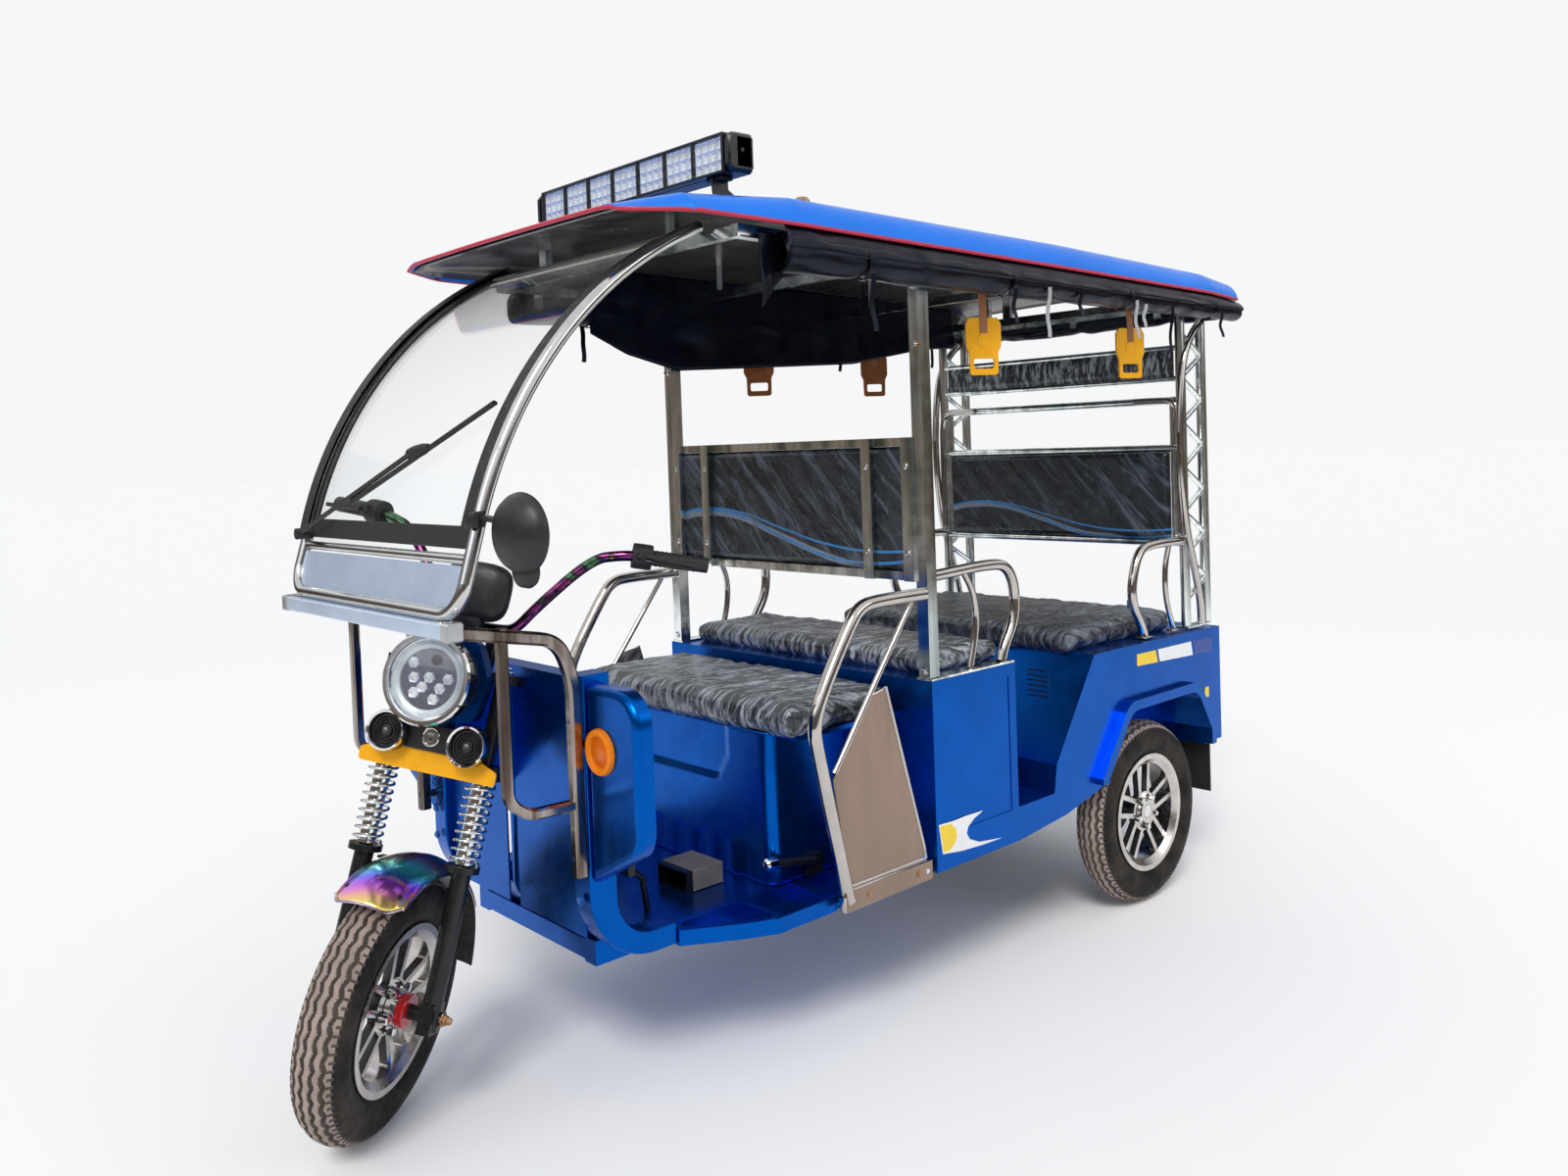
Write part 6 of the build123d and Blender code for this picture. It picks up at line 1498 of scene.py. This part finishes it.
# Wiper blade, and the joint that carries it: (x, y, z, radius)
BLADE_LOW, BLADE_HIGH = Vector((-140, -1954.5, 1210)), Vector((306, -1870.4, 1388))
BLADE_JOINT = ((52, -1922, 1297, 5), (66, -1922, 1303, 10), (84, -1917, 1306, 13),
               (104, -1912, 1311, 11), (118, -1908, 1315, 6))
blade = Shape()
sweep(blade, [at(*BLADE_LOW.lerp(BLADE_HIGH, k / 4)) for k in range(5)], rect(7, 13, 2), 0, -Y)
sweep(blade, [at(x, y, z) for x, y, z, r in BLADE_JOINT], [circle(r) for x, y, z, r in BLADE_JOINT], 0, -Y)
piece("wiper_blade_joint", blade, "body", ["rubber"], 40)

# Bolts
steel = Shape()
for x in (-425, -300, 300, 425):
    for z in (1040, 1238):
        bolt(steel, at(x, -909, z), -Y, 5, 3.5)
for sign in (1, -1):
    for z in (772, 1508, 1640):
        bolt(steel, at(sign * 462, -901 if z == 1508 else -885, z), X * sign, 6, 4)
        bolt(steel, at(sign * 456, -902, z), -Y, 6, 4)
    for y in (-1172, -932):
        bolt(steel, at(sign * 472, y, 329), X * sign, 6, 4)
piece("fixing_bolts", steel, "body", ["chrome"], 30)
blue_bolts = Shape()
for sign in (1, -1):
    for z in (845, 560, 500, 440):
        bolt(blue_bolts, at(sign * 294, -1727, z), -Y, 7, 6)
piece("column_bolts", blue_bolts, "body", ["blue_steel"], 30)

# Light and floor. The backdrop is what camera, glossy and transmission rays see
world = bpy.data.worlds.new("studio")
scene.world = world
world.use_nodes = True
wt = world.node_tree
background = wt.nodes["Background"]
background.inputs["Color"].default_value = (0.93, 0.96, 1.0, 1)
background.inputs["Strength"].default_value = 0.66
BACKDROP = (0.925, 0.93, 0.94)
seen = node(wt, "Background", Color=(*BACKDROP, 1))
rays = node(wt, "LightPath").outputs
either = calculate(wt, "MAXIMUM", rays["Is Camera Ray"], rays["Is Glossy Ray"])
any_three = calculate(wt, "MAXIMUM", either, rays["Is Transmission Ray"])
mixed = feed(wt, node(wt, "MixShader"), any_three, background.outputs[0], seen.outputs[0])
wt.links.new(mixed.outputs[0], wt.nodes["World Output"].inputs["Surface"])


def lamp(name, kind, place, aim, energy, size, colour=(1, 1, 1)):
    data = bpy.data.lights.new(name, kind)
    data.energy = energy
    data.color = colour
    if kind == "AREA":
        data.shape = "RECTANGLE"
        data.size, data.size_y = size
    else:
        data.angle = size
    obj = bpy.data.objects.new(name, data)
    obj.location = place
    obj.rotation_euler = (Vector(aim) - Vector(place)).to_track_quat("-Z", "Y").to_euler()
    scene.collection.objects.link(obj)


lamp("key", "SUN", (3, -4, 6), (0, 0, 0.8), 1.5, 0.35, (1, 0.98, 0.95))
lamp("side_softbox", "AREA", (4.2, 1.6, 2.6), (0, 0.2, 0.9), 14, (2.6, 1.6))
lamp("front_softbox", "AREA", (0.6, -4.6, 3.0), (0, -0.6, 0.9), 14, (2.6, 1.6))


def staged(name, points, faces, material):
    """An object of the setting, which isn't part of the vehicle."""
    mesh = bpy.data.meshes.new(name)
    mesh.from_pydata(points, [], faces)
    mesh.materials.append(material)
    obj = bpy.data.objects.new(name, mesh)
    scene.collection.objects.link(obj)
    return obj


FLOOR_HALF = 90
floor_look, ft, floor_shader = new_material("floor")
# Painted shade: the floor's colour darkens a little with distance from the vehicle, so that its far part meets the
# backdrop
distance = vector_calculate(ft, "LENGTH", coords(ft)).outputs["Value"]
ft.links.new(ramp(ft, remap(ft, distance, 0, 1, 2.0, 9.0), [
    (0.0, (0.985, 0.983, 0.979)), (0.5, (0.975, 0.974, 0.972)), (1.0, (0.968, 0.968, 0.968)),
]), floor_shader.inputs["Base Color"])
floor_shader.inputs["Roughness"].default_value = 0.9
floor_shader.inputs["Specular IOR Level"].default_value = 0.1
corners = [(x * FLOOR_HALF, y * FLOOR_HALF, 0) for x, y in ((-1, -1), (1, -1), (1, 1), (-1, 1))]
staged("floor", corners, [(0, 1, 2, 3)], floor_look)

# A ring of dark studio flags round the vehicle, seen only in its gloss, so that bright metal has contrast
RING_R, RING_TOP = 7.5, 3.6
flags = Shape()
ring_angles = [math.tau * k / 96 for k in range(97)]
grid(flags, [[Vector((RING_R * math.cos(a), RING_R * math.sin(a), height)) for a in ring_angles]
             for height in (-0.02 + RING_TOP * j / 8 for j in range(9))])
flag_look, ft, flag_shader = new_material("flag_look")
ft.nodes.remove(flag_shader)
bands = ramp(ft, noise(ft, 0.42, 3.0, 0.6, (1, 1, 0.25)), [
    (0.40, (0.05, 0.042, 0.036)), (0.5, (0.22, 0.17, 0.13)), (0.6, (0.06, 0.06, 0.065)),
    (0.7, (0.75, 0.8, 0.86)),
])
fade = remap(ft, split_axes(ft, coords(ft))["Z"], 0.0, 1.0, 2.2, RING_TOP)
glow = feed(ft, node(ft, "Emission"), blend(ft, fade, bands, (0.55, 0.6, 0.68)))
ft.links.new(glow.outputs[0], ft.nodes["Material Output"].inputs["Surface"])
flag_ring = staged("studio_flags", [tuple(p) for p in flags.points], flags.faces, flag_look)
for ray in ("camera", "diffuse", "shadow", "transmission"):
    setattr(flag_ring, "visible_" + ray, False)
